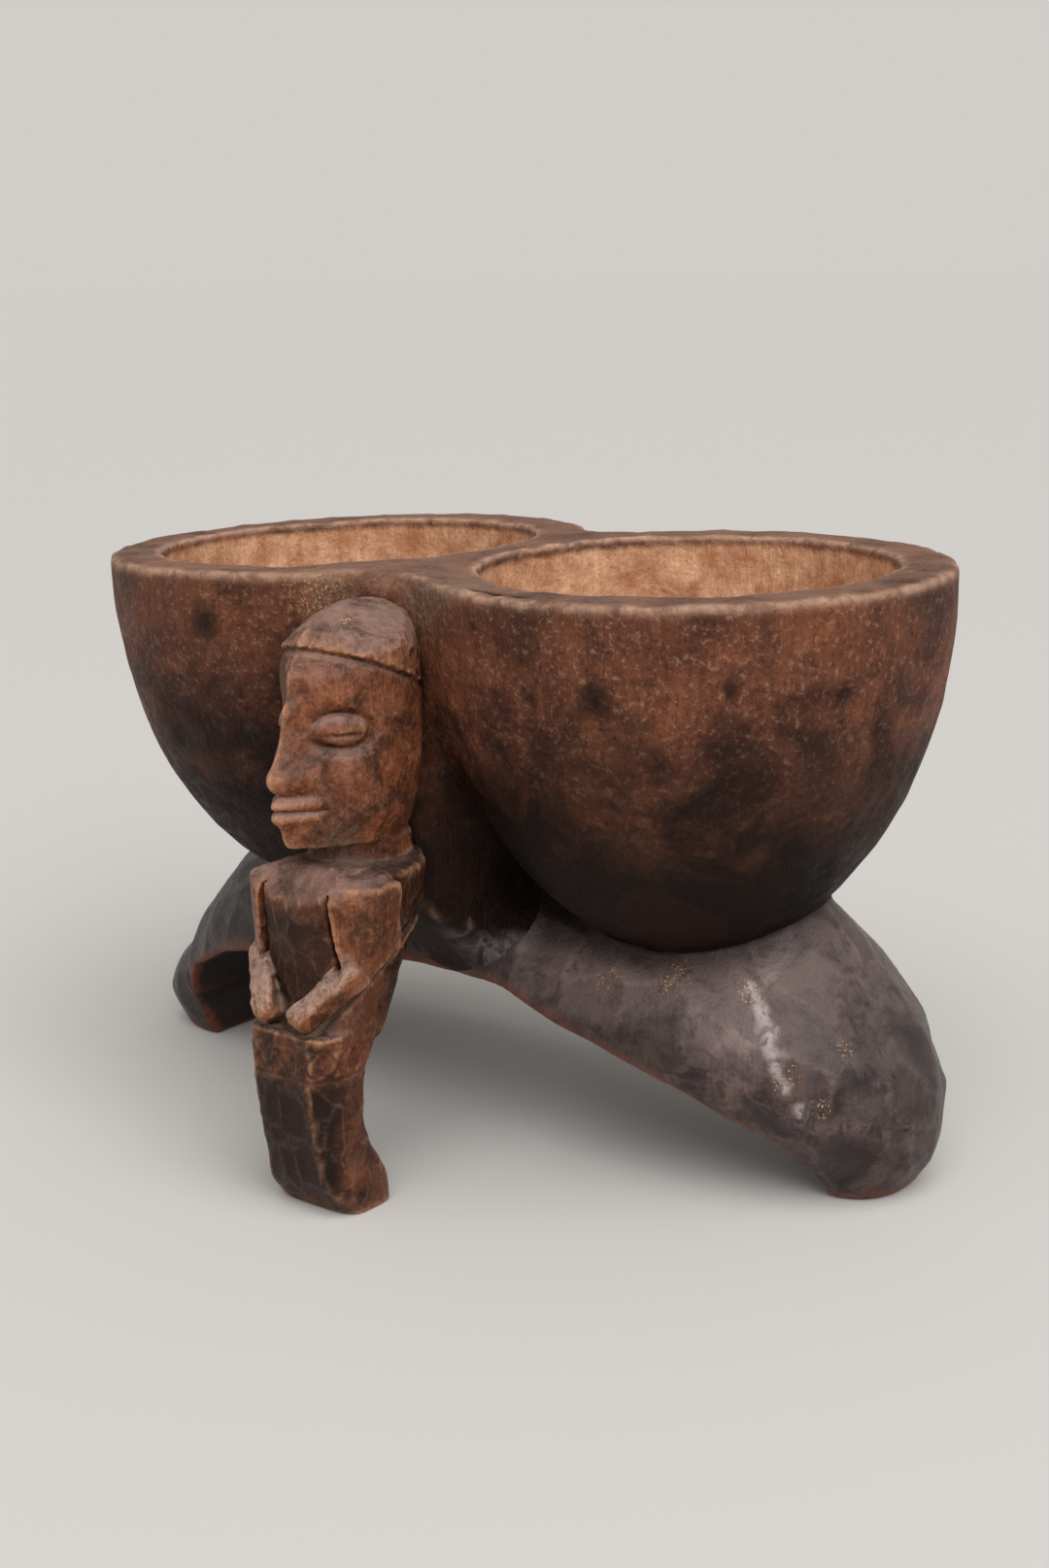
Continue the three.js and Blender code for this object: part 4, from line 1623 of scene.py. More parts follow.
@dataclass(frozen=True)
class WoodPatterns:
    """The patterns that all the layers of one finish read, as sockets of its tree."""

    tree: Tree
    spot: Socket
    place: Socket
    up: Socket
    blotch: Socket
    speck: Socket
    fibre: Socket
    grain: Socket


# A pattern, the range of it that lets a colour in, and that colour.
Layer = tuple[Socket, tuple[float, ...], str]


@dataclass(frozen=True)
class Patina:
    """Hand-cut hardwood, darkened by handling, oil and smoke.

    Its brown is mottled, dark where smoke and oil have gathered and where shade is painted in, grey where
    dust and polish lie on what faces up and where a sheen is painted on it, pale where highlights are
    painted, pale and red on worn ridges and black in the creases.
    """

    name: str
    deep: str
    body: str
    warm: str
    dust_and_sheen: str
    worn: str
    grime: str
    shade: str
    highlight_and_polish: str
    dust: str
    dust_and_sheen_share: float
    worn_share: float
    fleck_share: float
    facet_share: float
    ridge_share: float
    roughness: float
    sheen: float
    mottle: float
    fibre: float
    relief_depth: float
    # Heights between which the bowls go dark towards the bottom: partly dark crust, partly painted shade.
    smoke_shade_high: float = -1.0
    smoke_shade_low: float = -2.0
    inside_dark: str = "#b67d59"
    inside_light: str = "#f2c49d"
    patches: tuple[Patch, ...] = ()

    def build(self, datum: Datum) -> bpy.types.Material:
        """Builds the material, layer over layer.

        Args:
            datum: where the carver's millimetres sit in the frame.

        Returns:
            The material.
        """
        material = bpy.data.materials.new(self.name)
        material.use_nodes = True
        tree = material.node_tree
        tree.nodes.clear()
        own = self.patterns(tree)
        colour = self.mottled(own)
        colour = self.flecked(own, colour)
        colour = self.dusted_and_sheened(own, colour)
        colour = self.smoked_and_shaded(own, colour)
        colour = self.faceted(own, colour)
        colour = self.handled(own, colour)
        colour = self.patched(own, colour, datum)
        colour = self.hollowed(own, colour)
        shader = add(tree, "ShaderNodeBsdfPrincipled", {}, {
            "Base Color": colour, "Roughness": self.shine(own), "Normal": self.relief(own),
            "IOR": 1.5, "Specular IOR Level": self.sheen})
        add(tree, "ShaderNodeOutputMaterial", {}, (shader,))
        return material

    def patterns(self, tree: Tree) -> WoodPatterns:
        """Lays the shared patterns out in real millimetres.

        Args:
            tree: the material's tree.

        Returns:
            The patterns: how far up a place faces, blotches of oil, specks between them, fibres that
            run up the trunk, and pores.
        """
        spot = add(tree, "ShaderNodeTexCoord", {}, (), "Object")
        place = add(tree, VECTOR, {"operation": "SCALE"}, {0: spot, "Scale": 1 / MM})
        normal = add(tree, "ShaderNodeNewGeometry", {}, (), "Normal")
        up = add(tree, "ShaderNodeSeparateXYZ", {}, (normal,), "Z")
        blotch = add(tree, NOISE, {}, {
            "Vector": place, "Scale": 1 / self.mottle, "Detail": 5.0, "Roughness": 0.7, "Distortion": 0.5})
        speck = add(tree, NOISE, {}, {
            "Vector": place, "Scale": 5 / self.mottle, "Detail": 6.0, "Roughness": 0.65, "Distortion": 0.8})
        # Real fibres are a few tenths of a millimetre wide, too fine to show, so they are drawn coarser.
        upright = add(tree, VECTOR, {"operation": "MULTIPLY"}, (place, (1.0, 1.0, 0.05)))
        fibre = add(tree, NOISE, {}, {
            "Vector": upright, "Scale": 1 / self.fibre, "Detail": 4.0, "Roughness": 0.6})
        grain = add(tree, NOISE, {}, {
            "Vector": place, "Scale": 1 / PORE, "Detail": 4.0, "Roughness": 0.75, "Distortion": 0.4})
        return WoodPatterns(tree, spot, place, up, blotch, speck, fibre, grain)

    def layered(self, own: WoodPatterns, colour: Socket | Colour, layers: tuple[Layer, ...]) -> Socket:
        """Lays colours over what is below, each as far as its own range of a pattern lets it in.

        Args:
            own: the finish's patterns.
            colour: the layers below, or a plain colour.
            layers: the colours to lay, lowest first.

        Returns:
            The colour.
        """
        for pattern, span, code in layers:
            share = add(own.tree, RANGE, SMOOTH, (pattern, *span))
            colour = add(own.tree, MIX, COLOUR, {0: share, 6: colour, 7: linear(code)}, 2)
        return colour

    def traced(self, own: WoodPatterns, colour: Socket, label: str, share: Socket | float,
               laid: Socket | Colour) -> Socket:
        """Lays a colour where the carving knows of something, such as an edge or a crease.

        Args:
            own: the finish's patterns.
            colour: the layers below.
            label: the name of what the surface knows.
            share: how much of the colour lies there.
            laid: the colour to lay.

        Returns:
            The colour.
        """
        known = add(own.tree, KNOWN, {"attribute_name": label}, (), "Fac")
        share = add(own.tree, MATHS, TIMES, (known, share))
        return add(own.tree, MIX, COLOUR, {0: share, 6: colour, 7: laid}, 2)

    def mottled(self, own: WoodPatterns) -> Socket:
        """The brown itself, from dark oiled wood to warm rubbed wood, streaked along the fibres.

        Args:
            own: the finish's patterns.

        Returns:
            The colour.
        """
        return self.layered(own, linear(self.deep), (
            (own.blotch, (0.36, 0.56), self.body),
            (own.blotch, (0.52, 0.7), self.warm),
            (own.speck, (0.5, 0.32, 0.0, 0.55), self.deep),
            (own.fibre, (0.42, 0.66, 0.0, 0.38), self.deep),
        ))

    def flecked(self, own: WoodPatterns, colour: Socket) -> Socket:
        """Fine light flecks of rubbed fibre and fine dark pores.

        Args:
            own: the finish's patterns.
            colour: the layers below.

        Returns:
            The colour.
        """
        return self.layered(own, colour, (
            (own.grain, (0.54, 0.64, 0.0, self.fleck_share), self.worn),
            (own.grain, (0.46, 0.3, 0.0, 0.6), self.shade),
        ))

    def dusted_and_sheened(self, own: WoodPatterns, colour: Socket) -> Socket:
        """Grey on what faces up: partly dust, partly a painted sheen of the light from above.

        Args:
            own: the finish's patterns.
            colour: the layers below.

        Returns:
            The colour.
        """
        # Painted sheen, partly dust: the more a place faces up, the greyer it is painted.
        facing = add(own.tree, RANGE, SMOOTH, (own.up, -0.1, 0.9, 0.0, self.dust_and_sheen_share))
        ragged = add(own.tree, MATHS, {"operation": "MULTIPLY_ADD"}, (own.speck, 0.4, own.blotch))
        patchy = add(own.tree, RANGE, SMOOTH, (ragged, 0.5, 0.82, 0.2, 1.0))
        share = add(own.tree, MATHS, TIMES, (facing, patchy))
        return add(own.tree, MIX, COLOUR, {0: share, 6: colour, 7: linear(self.dust_and_sheen)}, 2)

    def smoked_and_shaded(self, own: WoodPatterns, colour: Socket) -> Socket:
        """Darker low on the bowls, partly a dark crust and partly painted shade, and where each member lays
        dirt and painted shade.

        Args:
            own: the finish's patterns.
            colour: the layers below.

        Returns:
            The colour.
        """
        # Partly painted shade: the bowls are painted darker towards the bottom, where the light falls off.
        height = add(own.tree, "ShaderNodeSeparateXYZ", {}, (own.place,), "Z")
        ragged = add(own.tree, RANGE, SMOOTH, (own.blotch, 0.3, 0.7, -9.0, 9.0))
        level = add(own.tree, MATHS, {"operation": "ADD"}, (height, ragged))
        low = add(own.tree, RANGE, SMOOTH, (level, self.smoke_shade_high, self.smoke_shade_low))
        # Dirt and painted shade that each member gives.
        soot_and_shade = add(own.tree, KNOWN, {"attribute_name": "soot_and_shade"}, (), "Fac")
        share = add(own.tree, MATHS, {"operation": "MAXIMUM"}, (low, soot_and_shade))
        return add(own.tree, MIX, COLOUR, {0: share, 6: colour, 7: linear(self.shade)}, 2)

    def faceted(self, own: WoodPatterns, colour: Socket) -> Socket:
        """Each tool cut a little darker or lighter than the next, with a ridge between them that is rubbed
        pale, partly a painted highlight.

        Args:
            own: the finish's patterns.
            colour: the layers below.

        Returns:
            The colour.
        """
        colour = self.traced(own, colour, "tone", self.facet_share, linear(self.deep))
        # Painted highlight, partly wear: the ridges between cuts are painted lighter.
        broken = add(own.tree, RANGE, SMOOTH, (own.speck, 0.4, 0.6, 0.0, self.ridge_share))
        return self.traced(own, colour, "ridge", broken, linear(self.dust_and_sheen))

    def handled(self, own: WoodPatterns, colour: Socket) -> Socket:
        """Painted shade in enclosed places, ridges rubbed pale by hands, pale polish with painted
        highlights, and creases with dirt or dust in them.

        Args:
            own: the finish's patterns.
            colour: the layers below.

        Returns:
            The colour.
        """
        # Painted shade in enclosed places.
        colour = self.traced(own, colour, "occlusion_shade", 0.9, linear(self.shade))
        least, most = 0.25 * self.worn_share, self.worn_share
        patchy = add(own.tree, RANGE, SMOOTH, (own.speck, 0.3, 0.62, least, most))
        colour = self.traced(own, colour, "worn", patchy, linear(self.worn))
        broken = add(own.tree, RANGE, SMOOTH, (own.speck, 0.38, 0.58, 0.15, 0.9))
        # Pale polish and painted highlights.
        colour = self.traced(own, colour, "highlight_and_polish", broken, linear(self.highlight_and_polish))
        caught = add(own.tree, RANGE, SMOOTH, (own.fibre, 0.3, 0.6, 0.65, 0.92))
        filth = self.layered(own, linear(self.grime), ((own.up, (0.1, 0.7), self.dust),))
        return self.traced(own, colour, "grime", caught, filth)

    def patched(self, own: WoodPatterns, colour: Socket, datum: Datum) -> Socket:
        """Small stains, grains of residue and dust, each at its own place and ragged at its edge.

        Args:
            own: the finish's patterns.
            colour: the layers below.
            datum: where the carver's millimetres sit in the frame.

        Returns:
            The colour.
        """
        soft = add(own.tree, RANGE, SMOOTH, (own.speck, 0.3, 0.55, 0.45, 0.95))
        fine = add(own.tree, NOISE, {}, {
            "Vector": own.place, "Scale": 1 / DRIED_GRAIN, "Detail": 1.0, "Roughness": 0.5})
        grains = add(own.tree, RANGE, SMOOTH, (fine, 0.6, 0.68, 0.0, 0.85))
        caught = add(own.tree, RANGE, SMOOTH, (own.grain, 0.4, 0.6, 0.15, 0.8))
        lying = {Deposit.STAIN: soft, Deposit.GRAINS: grains, Deposit.DUST: caught}
        # In reaches of a patch: how far specks push its edge about, and where it starts and is full.
        push, start, full = 1.7, 1.85, 1.05
        for patch in self.patches:
            middle = tuple(float(v) for v in datum.to_frame(np.array(patch.place)))
            reach = patch.reach * MM
            gap = add(own.tree, VECTOR, {"operation": "DISTANCE"}, (own.spot, middle), "Value")
            gap = add(own.tree, MATHS, {"operation": "MULTIPLY_ADD"}, (own.speck, push * reach, gap))
            near = add(own.tree, RANGE, SMOOTH, (gap, start * reach, full * reach))
            share = add(own.tree, MATHS, TIMES, (near, lying[patch.deposit]))
            colour = add(own.tree, MIX, COLOUR, {0: share, 6: colour, 7: linear(patch.colour)}, 2)
        return colour

    def hollowed(self, own: WoodPatterns, colour: Socket) -> Socket:
        """The bare tan wood inside the bowls, washed by wine, pitted and streaked along the grain.

        Args:
            own: the finish's patterns.
            colour: the layers below.

        Returns:
            The colour.
        """
        patch = add(own.tree, NOISE, {}, {
            "Vector": own.place, "Scale": 1 / WASHED_PATCH, "Detail": 6.0, "Roughness": 0.72,
            "Distortion": 0.2})
        tan = self.layered(own, linear(self.inside_dark), (
            (patch, (0.3, 0.7), self.inside_light),
            (own.fibre, (0.42, 0.66, 0.0, 0.3), self.inside_dark),
            (own.blotch, (0.46, 0.3, 0.0, 0.5), self.warm),
            (own.grain, (0.4, 0.3, 0.0, 0.55), self.body),
        ))
        bare = add(own.tree, KNOWN, {"attribute_name": "inside"}, (), "Fac")
        ragged = add(own.tree, MATHS, {"operation": "MULTIPLY_ADD"}, (own.speck, 0.5, bare))
        share = add(own.tree, RANGE, SMOOTH, (ragged, 0.5, 1.05))
        return add(own.tree, MIX, COLOUR, {0: share, 6: colour, 7: tan}, 2)

    def shine(self, own: WoodPatterns) -> Socket:
        """Satin where hands have polished, dull where the wood is bare or dirty.

        Args:
            own: the finish's patterns.

        Returns:
            The roughness.
        """
        smoothest, roughest = self.roughness - 0.12, self.roughness + 0.14
        rough = add(own.tree, RANGE, SMOOTH, (own.speck, 0.3, 0.7, smoothest, roughest))
        dirt = add(own.tree, KNOWN, {"attribute_name": "grime"}, (), "Fac")
        rough = add(own.tree, MATHS, {"operation": "MULTIPLY_ADD"}, (dirt, 0.3, rough))
        bare = add(own.tree, KNOWN, {"attribute_name": "inside"}, (), "Fac")
        return add(own.tree, MATHS, {"operation": "MULTIPLY_ADD", "use_clamp": True}, (bare, 0.2, rough))

    def relief(self, own: WoodPatterns) -> Socket:
        """Fibres, pores and small dents, a fraction of a millimetre deep.

        Args:
            own: the finish's patterns.

        Returns:
            The surface's direction.
        """
        # Fibres 0.4 mm wide and 3 mm long: so many to the millimetre along X, Y and Z.
        fineness = (2.6, 2.6, 0.35)
        upright = add(own.tree, VECTOR, {"operation": "MULTIPLY"}, (own.place, fineness))
        height = add(own.tree, NOISE, {}, {"Vector": upright, "Scale": 1.0, "Detail": 2.0, "Roughness": 0.5})
        for pattern, weight in ((own.fibre, 0.8), (own.speck, 1.2), (own.grain, 1.5)):
            height = add(own.tree, MATHS, {"operation": "MULTIPLY_ADD"}, (pattern, weight, height))
        return add(own.tree, "ShaderNodeBump", {}, {
            "Strength": 0.8, "Distance": self.relief_depth * MM, "Height": height})


# The surface tree that every carved piece passes through


class FibreRelief:
    """Raises the wood's fibres on a carved piece and gives the piece its finish."""

    DEPTH, ACROSS, ALONG, SEED, FINISH = "Fibre depth", "Fibre width", "Fibre length", "Seed", "Finish"

    def __init__(self) -> None:
        """Builds the tree once for all pieces."""
        tree = bpy.data.node_groups.new("raised_fibres", "GeometryNodeTree")
        self.tree = tree
        face = tree.interface
        face.new_socket("Geometry", in_out="INPUT", socket_type="NodeSocketGeometry")
        for name in (self.DEPTH, self.ACROSS, self.ALONG, self.SEED):
            face.new_socket(name, in_out="INPUT", socket_type="NodeSocketFloat")
        face.new_socket(self.FINISH, in_out="INPUT", socket_type="NodeSocketMaterial")
        face.new_socket("Geometry", in_out="OUTPUT", socket_type="NodeSocketGeometry")
        given = tree.nodes.new("NodeGroupInput").outputs
        spot = add(tree, "GeometryNodeInputPosition", {}, ())
        across, along = given[self.ACROSS], given[self.ALONG]
        size = add(tree, "ShaderNodeCombineXYZ", {}, (across, across, along))
        scaled = add(tree, VECTOR, {"operation": "DIVIDE"}, (spot, size))
        ripple = add(tree, NOISE, {"noise_dimensions": "4D"}, {
            "Vector": scaled, "W": given[self.SEED], "Scale": 1.0, "Detail": 2.0, "Roughness": 0.5})
        depth = add(tree, MATHS, {"operation": "MULTIPLY"}, (given[self.DEPTH], -1.0))
        sunk = add(tree, MATHS, {"operation": "MULTIPLY"}, (ripple, depth))
        facing = add(tree, "GeometryNodeInputNormal", {}, ())
        inward = add(tree, VECTOR, {"operation": "SCALE"}, {0: facing, "Scale": sunk})
        moved = add(tree, "GeometryNodeSetPosition", {}, {"Geometry": given["Geometry"], "Offset": inward})
        real = add(tree, "GeometryNodeRealizeInstances", {}, (moved,))
        done = add(tree, "GeometryNodeSetMaterial", {}, {"Geometry": real, "Material": given[self.FINISH]})
        add(tree, "NodeGroupOutput", {}, (done,))

    def finish(self, piece: bpy.types.Object, material: bpy.types.Material) -> None:
        """Passes a piece through the tree and keeps the result as a plain mesh.

        Args:
            piece: the carved piece.
            material: its finish.
        """
        sizes = {self.DEPTH: 0.16 * MM, self.ACROSS: 1.6 * MM, self.ALONG: 22 * MM, self.SEED: 4.0}
        bake(piece, self.tree, {**sizes, self.FINISH: material})


def bake(piece: bpy.types.Object, tree: Tree, values: dict[str, object]) -> None:
    """Runs a tree on a piece and keeps the result as its mesh.

    Args:
        piece: the object.
        tree: the Geometry Nodes tree.
        values: the tree's inputs by name.
    """
    modifier = piece.modifiers.new(tree.name, "NODES")
    modifier.node_group = tree
    for item in tree.interface.items_tree:
        if item.in_out == "INPUT" and item.name in values:
            modifier[item.identifier] = values[item.name]
    graph = bpy.context.evaluated_depsgraph_get()
    made = bpy.data.meshes.new_from_object(piece.evaluated_get(graph), depsgraph=graph)
    old = piece.data
    piece.modifiers.clear()
    piece.data = made
    made.name = piece.name
    bpy.data.meshes.remove(old)


def mesh_object(name: str, carved: CarvedMesh, datum: Datum) -> bpy.types.Object:
    """Makes a smooth Blender object from a carved mesh.

    Args:
        name: the object's name.
        carved: the mesh.
        datum: where its millimetres sit in the frame.

    Returns:
        The object, at the origin, with its place in its mesh.
    """
    mesh = bpy.data.meshes.new(name)
    mesh.from_pydata(datum.to_frame(carved.corners).tolist(), [], carved.faces.tolist())
    for label, values in carved.known.items():
        layer = mesh.attributes.new(label, "FLOAT", "POINT")
        layer.data.foreach_set("value", values.astype(np.float32))
    mesh.polygons.foreach_set("use_smooth", np.ones(len(mesh.polygons), dtype=bool))
    mesh.update()
    piece = bpy.data.objects.new(name, mesh)
    bpy.context.collection.objects.link(piece)
    return piece


# The studio


@dataclass(frozen=True)
class Studio:
    """A pale floor, soft lamps at a plain level and the camera at the photograph's angle."""

    camera_place: Point = (310.5, -376.1, 193.8)
    azimuth: float = 39.3
    elevation: float = 13.6
    roll: float = -1.57
    focal: float = 51.83

    def build(self, datum: Datum) -> None:
        """Sets the camera, the lamps, the floor and the world.

        Args:
            datum: where the carver's millimetres sit in the frame.
        """
        self.set_camera(datum)
        self.set_lamps(datum)
        self.set_floor()
        self.set_world()

    def set_camera(self, datum: Datum) -> None:
        """Stands the camera where the photograph was taken from.

        Args:
            datum: where the carver's millimetres sit in the frame.
        """
        camera = bpy.data.objects.new("camera", bpy.data.cameras.new("camera"))
        bpy.context.collection.objects.link(camera)
        around, up, roll = (math.radians(v) for v in (self.azimuth, self.elevation, self.roll))
        turn = Matrix.Rotation(around, 4, "Z") @ Matrix.Rotation(math.pi / 2 - up, 4, "X")
        turn = turn @ Matrix.Rotation(roll, 4, "Z")
        place = datum.to_frame(np.array(self.camera_place))
        camera.matrix_world = Matrix.Translation(Vector(place)) @ turn
        camera.data.lens = self.focal
        camera.data.sensor_width = 36.0
        camera.data.sensor_fit = "AUTO"
        camera.data.clip_start = 0.01
        bpy.context.scene.camera = camera

    def set_lamps(self, datum: Datum) -> None:
        """Hangs a soft even light overhead, and a weak broad lamp at either side of the front.

        Args:
            datum: where the carver's millimetres sit in the frame.
        """
        sky = bpy.data.objects.new("overhead", bpy.data.lights.new("overhead", "SUN"))
        sky.data.energy = 2.1
        sky.data.angle = math.radians(60)
        sky.rotation_euler = Vector((0.45, -0.35, 0.82)).to_track_quat("Z", "Y").to_euler()
        bpy.context.collection.objects.link(sky)
        target = Vector(datum.to_frame(np.array((0.0, 0.0, 70.0))))
        lamps = (
            ("front_left", (-0.55, -0.75, 0.45), 0.55, 0.4),
            ("front_right", (0.85, -0.45, 0.40), 0.60, 1.9),
        )
        for name, place, size, watts in lamps:
            lamp = bpy.data.objects.new(name, bpy.data.lights.new(name, "AREA"))
            lamp.data.shape = "SQUARE"
            lamp.data.size = size
            lamp.data.energy = watts
            lamp.location = target + Vector(place)
            lamp.rotation_euler = (-Vector(place)).to_track_quat("-Z", "Y").to_euler()
            bpy.context.collection.objects.link(lamp)

    def set_floor(self) -> None:
        """Lays a plain pale floor."""
        half = 9.0
        mesh = bpy.data.meshes.new("floor")
        corners = [(-half, -half, 0), (half, -half, 0), (half, half, 0), (-half, half, 0)]
        mesh.from_pydata(corners, [], [(0, 1, 2, 3)])
        floor = bpy.data.objects.new("floor", mesh)
        bpy.context.collection.objects.link(floor)
        material = bpy.data.materials.new("floor_paper")
        material.use_nodes = True
        shader = material.node_tree.nodes["Principled BSDF"]
        shader.inputs["Base Color"].default_value = linear("#d9d6d2")
        shader.inputs["Roughness"].default_value = 0.9
        mesh.materials.append(material)

    def set_world(self) -> None:
        """Gives an even grey light, and a pale background to the camera and to reflections."""
        world = bpy.data.worlds.new("studio")
        world.use_nodes = True
        tree = world.node_tree
        tree.nodes.clear()
        rays = tree.nodes.new("ShaderNodeLightPath").outputs
        seen = add(tree, MATHS, {"operation": "MAXIMUM"}, (rays["Is Camera Ray"], rays["Is Glossy Ray"]))
        seen = add(tree, MATHS, {"operation": "MAXIMUM"}, (seen, rays["Is Transmission Ray"]))
        soft = add(tree, "ShaderNodeBackground", {}, (linear("#f4f1ee"), 0.38))
        pale = add(tree, "ShaderNodeBackground", {}, (linear("#d1cdc8"), 1.0))
        both = add(tree, "ShaderNodeMixShader", {}, (seen, soft, pale))
        add(tree, "ShaderNodeOutputWorld", {}, (both,))
        bpy.context.scene.world = world


# Putting the cup together


# Old hardwood, oiled and hung in smoke: satin brown above with a painted sheen on what faces up, going black
# and dull towards the bottom, partly from dark crust and partly from painted shade.
BOWL_WOOD = Patina(
    name="oiled_hardwood_smoked_below",
    deep="#48291d", body="#744530", warm="#8a5338", dust_and_sheen="#ac846d", worn="#dbb297", grime="#120b08",
    shade="#100603", highlight_and_polish="#85767a", dust="#5d4535",
    dust_and_sheen_share=0.46, worn_share=1.0, fleck_share=0.22, facet_share=0.25, ridge_share=0.0,
    roughness=0.54, sheen=0.14, mottle=22.0, fibre=0.9, relief_depth=0.45, smoke_shade_high=118.0, smoke_shade_low=74.0,
    patches=(
        Patch((96.8, -20.5, 109.9), 4.5, "#140c09", Deposit.STAIN),
        Patch((83.8, -39.6, 112.4), 3.0, "#140c09", Deposit.STAIN),
        Patch((61.9, -51.8, 110.7), 5.5, "#140c09", Deposit.STAIN),
        Patch((48.5, -53.8, 109.6), 2.4, "#140c09", Deposit.STAIN),
        Patch((-39.1, -54.0, 117.0), 7.0, "#24150e", Deposit.STAIN),
        Patch((-55.9, -47.7, 88.7), 8.0, "#1a0f0a", Deposit.STAIN),
        Patch((14.0, -43.0, 124.0), 11.0, "#8b725f", Deposit.DUST),
        Patch((26.0, -46.0, 127.0), 9.0, "#8b725f", Deposit.DUST),
        Patch((-12.0, -46.0, 125.5), 10.0, "#93745a", Deposit.DUST),
        Patch((-14.0, -47.0, 124.0), 9.0, "#d2ae8e", Deposit.GRAINS),
    ),
)
# The same wood greyed by dust and polish and by a painted sheen on what faces up: broad dull cuts with a
# soft gloss, painted highlights on the ridges, painted shade on the outer side, and red bare wood at the
# edge.
LEG_WOOD = Patina(
    name="handled_hardwood_greyed",
    deep="#2e2221", body="#63514f", warm="#745545", dust_and_sheen="#ab9692", worn="#7d4028", grime="#120b08",
    shade="#1a1211", highlight_and_polish="#b5a5a2", dust="#4a3c37",
    dust_and_sheen_share=0.62, worn_share=0.85, fleck_share=0.12, facet_share=0.6, ridge_share=0.16,
    roughness=0.4, sheen=0.3, mottle=13.0, fibre=0.9, relief_depth=0.18,
    patches=(
        Patch((56.7, -20.0, 46.9), 6.0, "#e0a25c", Deposit.GRAINS),
        Patch((42.1, -23.6, 45.1), 5.0, "#c08a50", Deposit.GRAINS),
        Patch((72.3, -15.3, 46.0), 4.0, "#d8b48c", Deposit.GRAINS),
        Patch((83.1, -18.8, 30.1), 4.0, "#e0b070", Deposit.GRAINS),
        Patch((90.5, -8.0, 35.1), 3.0, "#e0b070", Deposit.GRAINS),
        Patch((89.2, -15.2, 24.2), 3.0, "#e0b070", Deposit.GRAINS),
    ),
)
# The same wood rubbed by hands for years: red-brown with a low gloss, black in every crease, with painted
# shade on the front faces, chest and flanks, and painted highlights on the forearms.
FIGURE_WOOD = Patina(
    name="handled_hardwood_red_brown",
    deep="#462819", body="#874c30", warm="#a9694a", dust_and_sheen="#a1877e", worn="#c48d69", grime="#0f0805",
    shade="#170a05", highlight_and_polish="#c3aa9c", dust="#846d5c",
    dust_and_sheen_share=0.72, worn_share=0.72, fleck_share=0.26, facet_share=0.3, ridge_share=0.12,
    roughness=0.34, sheen=0.17, mottle=8.0, fibre=0.6, relief_depth=0.3,
    patches=(
        Patch((4.0, -56.0, 121.5), 4.5, "#cdb083", Deposit.GRAINS),
        Patch((10.0, -45.0, 121.0), 8.0, "#85705f", Deposit.DUST),
        Patch((6.0, -64.0, 77.0), 9.0, "#6d5a4c", Deposit.DUST),
    ),
)


def finish_of(zone: Zone) -> Patina:
    """Gives the finish that a zone of the block wears."""
    return {Zone.BOWL: BOWL_WOOD, Zone.LEG: LEG_WOOD, Zone.FIGURE: FIGURE_WOOD}[zone]


def cup_members(datum: Datum) -> list[Member]:
    """Lays out the bowls, the spine and the side legs.

    Args:
        datum: where the carver's millimetres sit in the frame.

    Returns:
        The members, in the order in which they are meshed.
    """
    return [
        Bowl(datum, "right_bowl", Zone.BOWL, ("bowl_right",), (13, 13, 20), 0.3, side=1,
             cracks=(((29.0, -48.4, 128.0), (37.5, -50.2, 127.7)),
                     ((37.5, -50.2, 127.7), (46.3, -51.0, 128.0)))),
        Bowl(datum, "left_bowl", Zone.BOWL, ("bowl_left",), (13, 13, 20), 0.3, side=-1),
        Spine(datum, "spine_block", Zone.BOWL, ("spine",), (8, 8, 15), 0.35),
        Leg(datum, "right_leg", Zone.LEG, ("leg_right",), (14, 11, 17), 1.0, side=1,
            streak=((72.3, -15.3, 45.9), (76.8, -17.2, 40.6), (80.5, -19.3, 33.8), (83.8, -18.8, 27.4),
                    (86.1, -17.4, 23.4))),
        # The left leg stands out of the light, so painted shade darkens all of it.
        Leg(datum, "left_leg", Zone.LEG, ("leg_left",), (14, 11, 17), 1.0, side=-1, sole_y=4.0,
            darkness=0.94, outline=(111, 115.5, 110.5, 103, 96.5, 89.5, 82.5, 74),
            arch=((16, 38.8), (48, 36), (72, 30), (88, 22), (93, 10), (93.5, 0))),
    ]


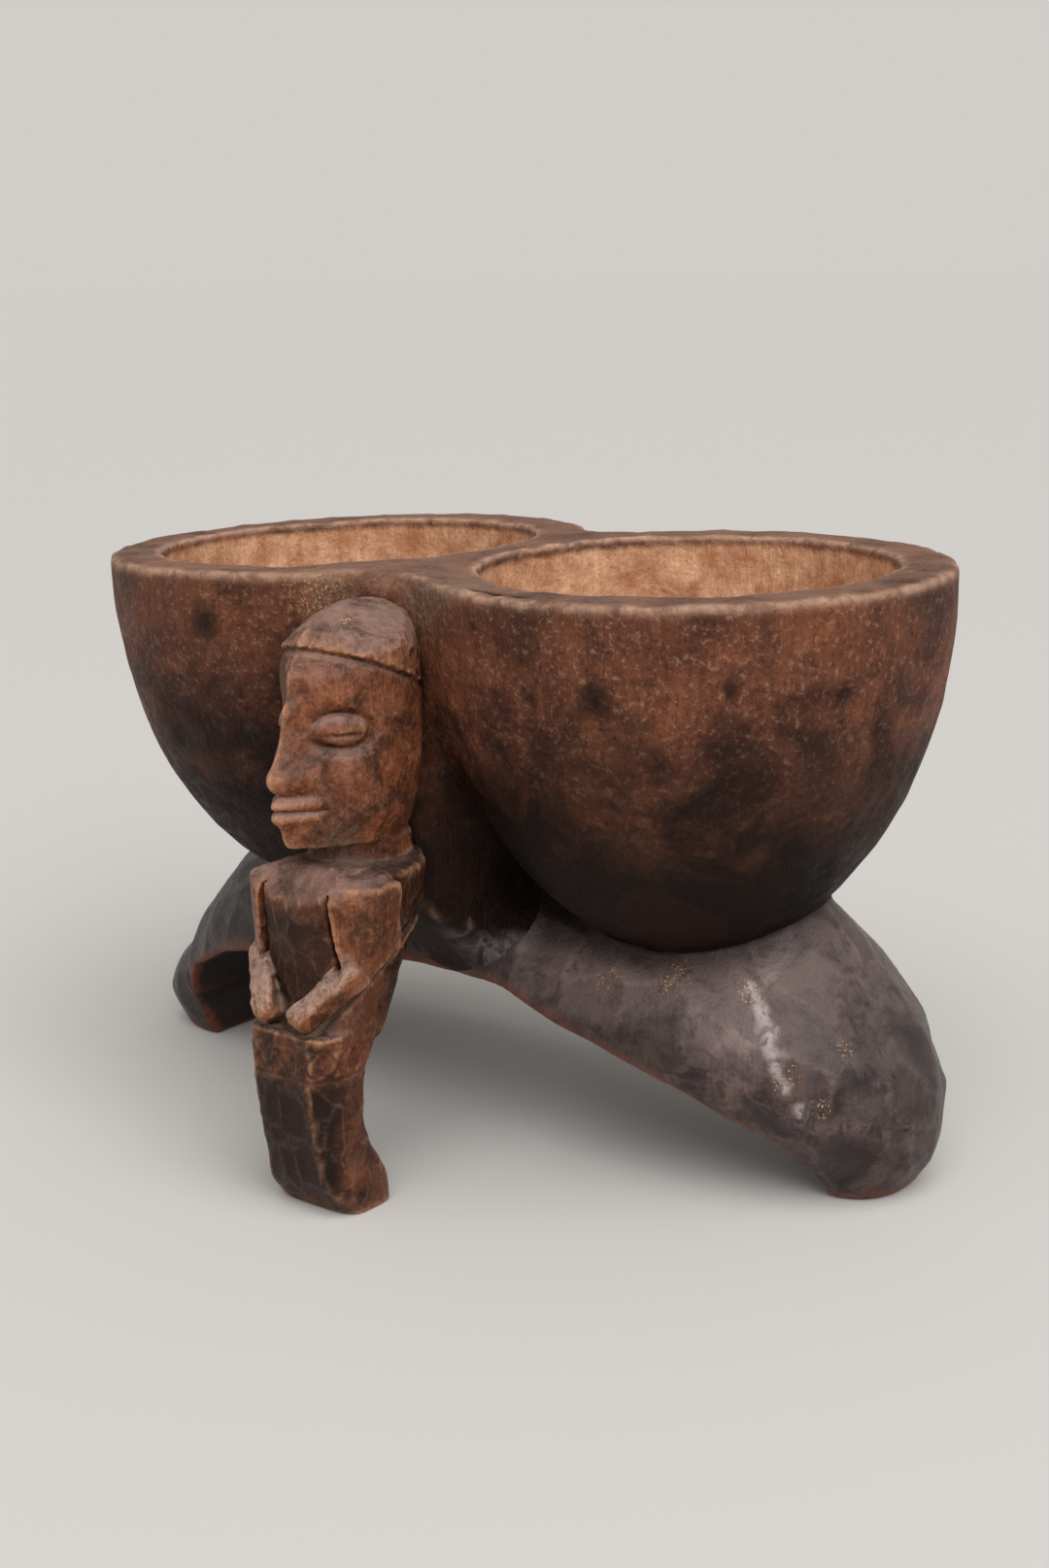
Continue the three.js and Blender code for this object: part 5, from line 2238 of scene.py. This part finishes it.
def figure_members(datum: Datum) -> list[Member]:
    """Lays out the figure from the ground up.

    Args:
        datum: where the carver's millimetres sit in the frame.

    Returns:
        The members, in the order in which they are meshed.
    """
    cut = (4.5, 4.5, 6.5)
    return [
        LowerBody(datum, "legs_and_belt", Zone.FIGURE, ("figure_lower_body",), (5, 5, 9), 0.45),
        Torso(datum, "torso", Zone.FIGURE, ("figure_torso",), cut, 0.35),
        ArmPiece(datum, "right_arm", Zone.FIGURE, ("figure_arm_right",), cut, 0.35, side=-1),
        ArmPiece(datum, "left_arm", Zone.FIGURE, ("figure_arm_left",), cut, 0.35, side=1),
        Head(datum, "head", Zone.FIGURE, ("figure_head",), cut, 0.22),
        Cap(datum, "close_cap", Zone.FIGURE, ("figure_cap",), (2.6, 2.6, 3.4), 0.4),
    ]


# How wide the wood runs on from one member to the next, in millimetres.
CUP_FILLETS = {
    frozenset({"right_bowl", "spine_block"}): 9.0,
    frozenset({"left_bowl", "spine_block"}): 9.0,
    frozenset({"right_bowl", "left_bowl"}): 5.0,
    frozenset({"right_bowl", "right_leg"}): 2.2,
    frozenset({"left_bowl", "left_leg"}): 2.2,
    frozenset({"spine_block", "right_leg"}): 5.0,
    frozenset({"spine_block", "left_leg"}): 5.0,
    frozenset({"right_leg", "left_leg"}): 3.0,
}
FIGURE_FILLETS = {
    frozenset({"legs_and_belt", "torso"}): 1.5,
    frozenset({"torso", "head"}): 1.6,
    frozenset({"torso", "left_arm"}): 1.0,
    frozenset({"torso", "right_arm"}): 1.0,
    frozenset({"head", "close_cap"}): 0.0,
}


def dress(datum: Datum) -> None:
    """Carves every member, gives it its finish and sets it on the frame.

    Args:
        datum: where the carver's millimetres sit in the frame.
    """
    cup_step, figure_step = 0.82, 0.36
    rough = 1.0
    materials = {zone: finish_of(zone).build(datum) for zone in Zone}
    fibres = FibreRelief()
    blocks = (
        (cup_members(datum), cup_step * rough, CUP_FILLETS),
        (figure_members(datum), figure_step * rough, FIGURE_FILLETS),
    )
    for members, step, fillets in blocks:
        carving = Carving(members, step, fillets)
        for member in members:
            carved = carving.mesh(member)
            piece = mesh_object(member.name, carved, datum)
            fibres.finish(piece, materials[member.zone])
            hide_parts(*member.nodes)
            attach(piece, "root")
            LOG.info("%s: %d faces on %s", member.name, len(carved.faces), ", ".join(member.nodes))


def main() -> None:
    """Loads the frame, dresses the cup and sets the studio."""
    logging.basicConfig(level=logging.INFO, format="%(message)s")
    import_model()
    bpy.context.scene.view_settings.view_transform = "Standard"
    datum = Datum.from_frame()
    dress(datum)
    Studio().build(datum)


if __name__ == "__main__":
    main()
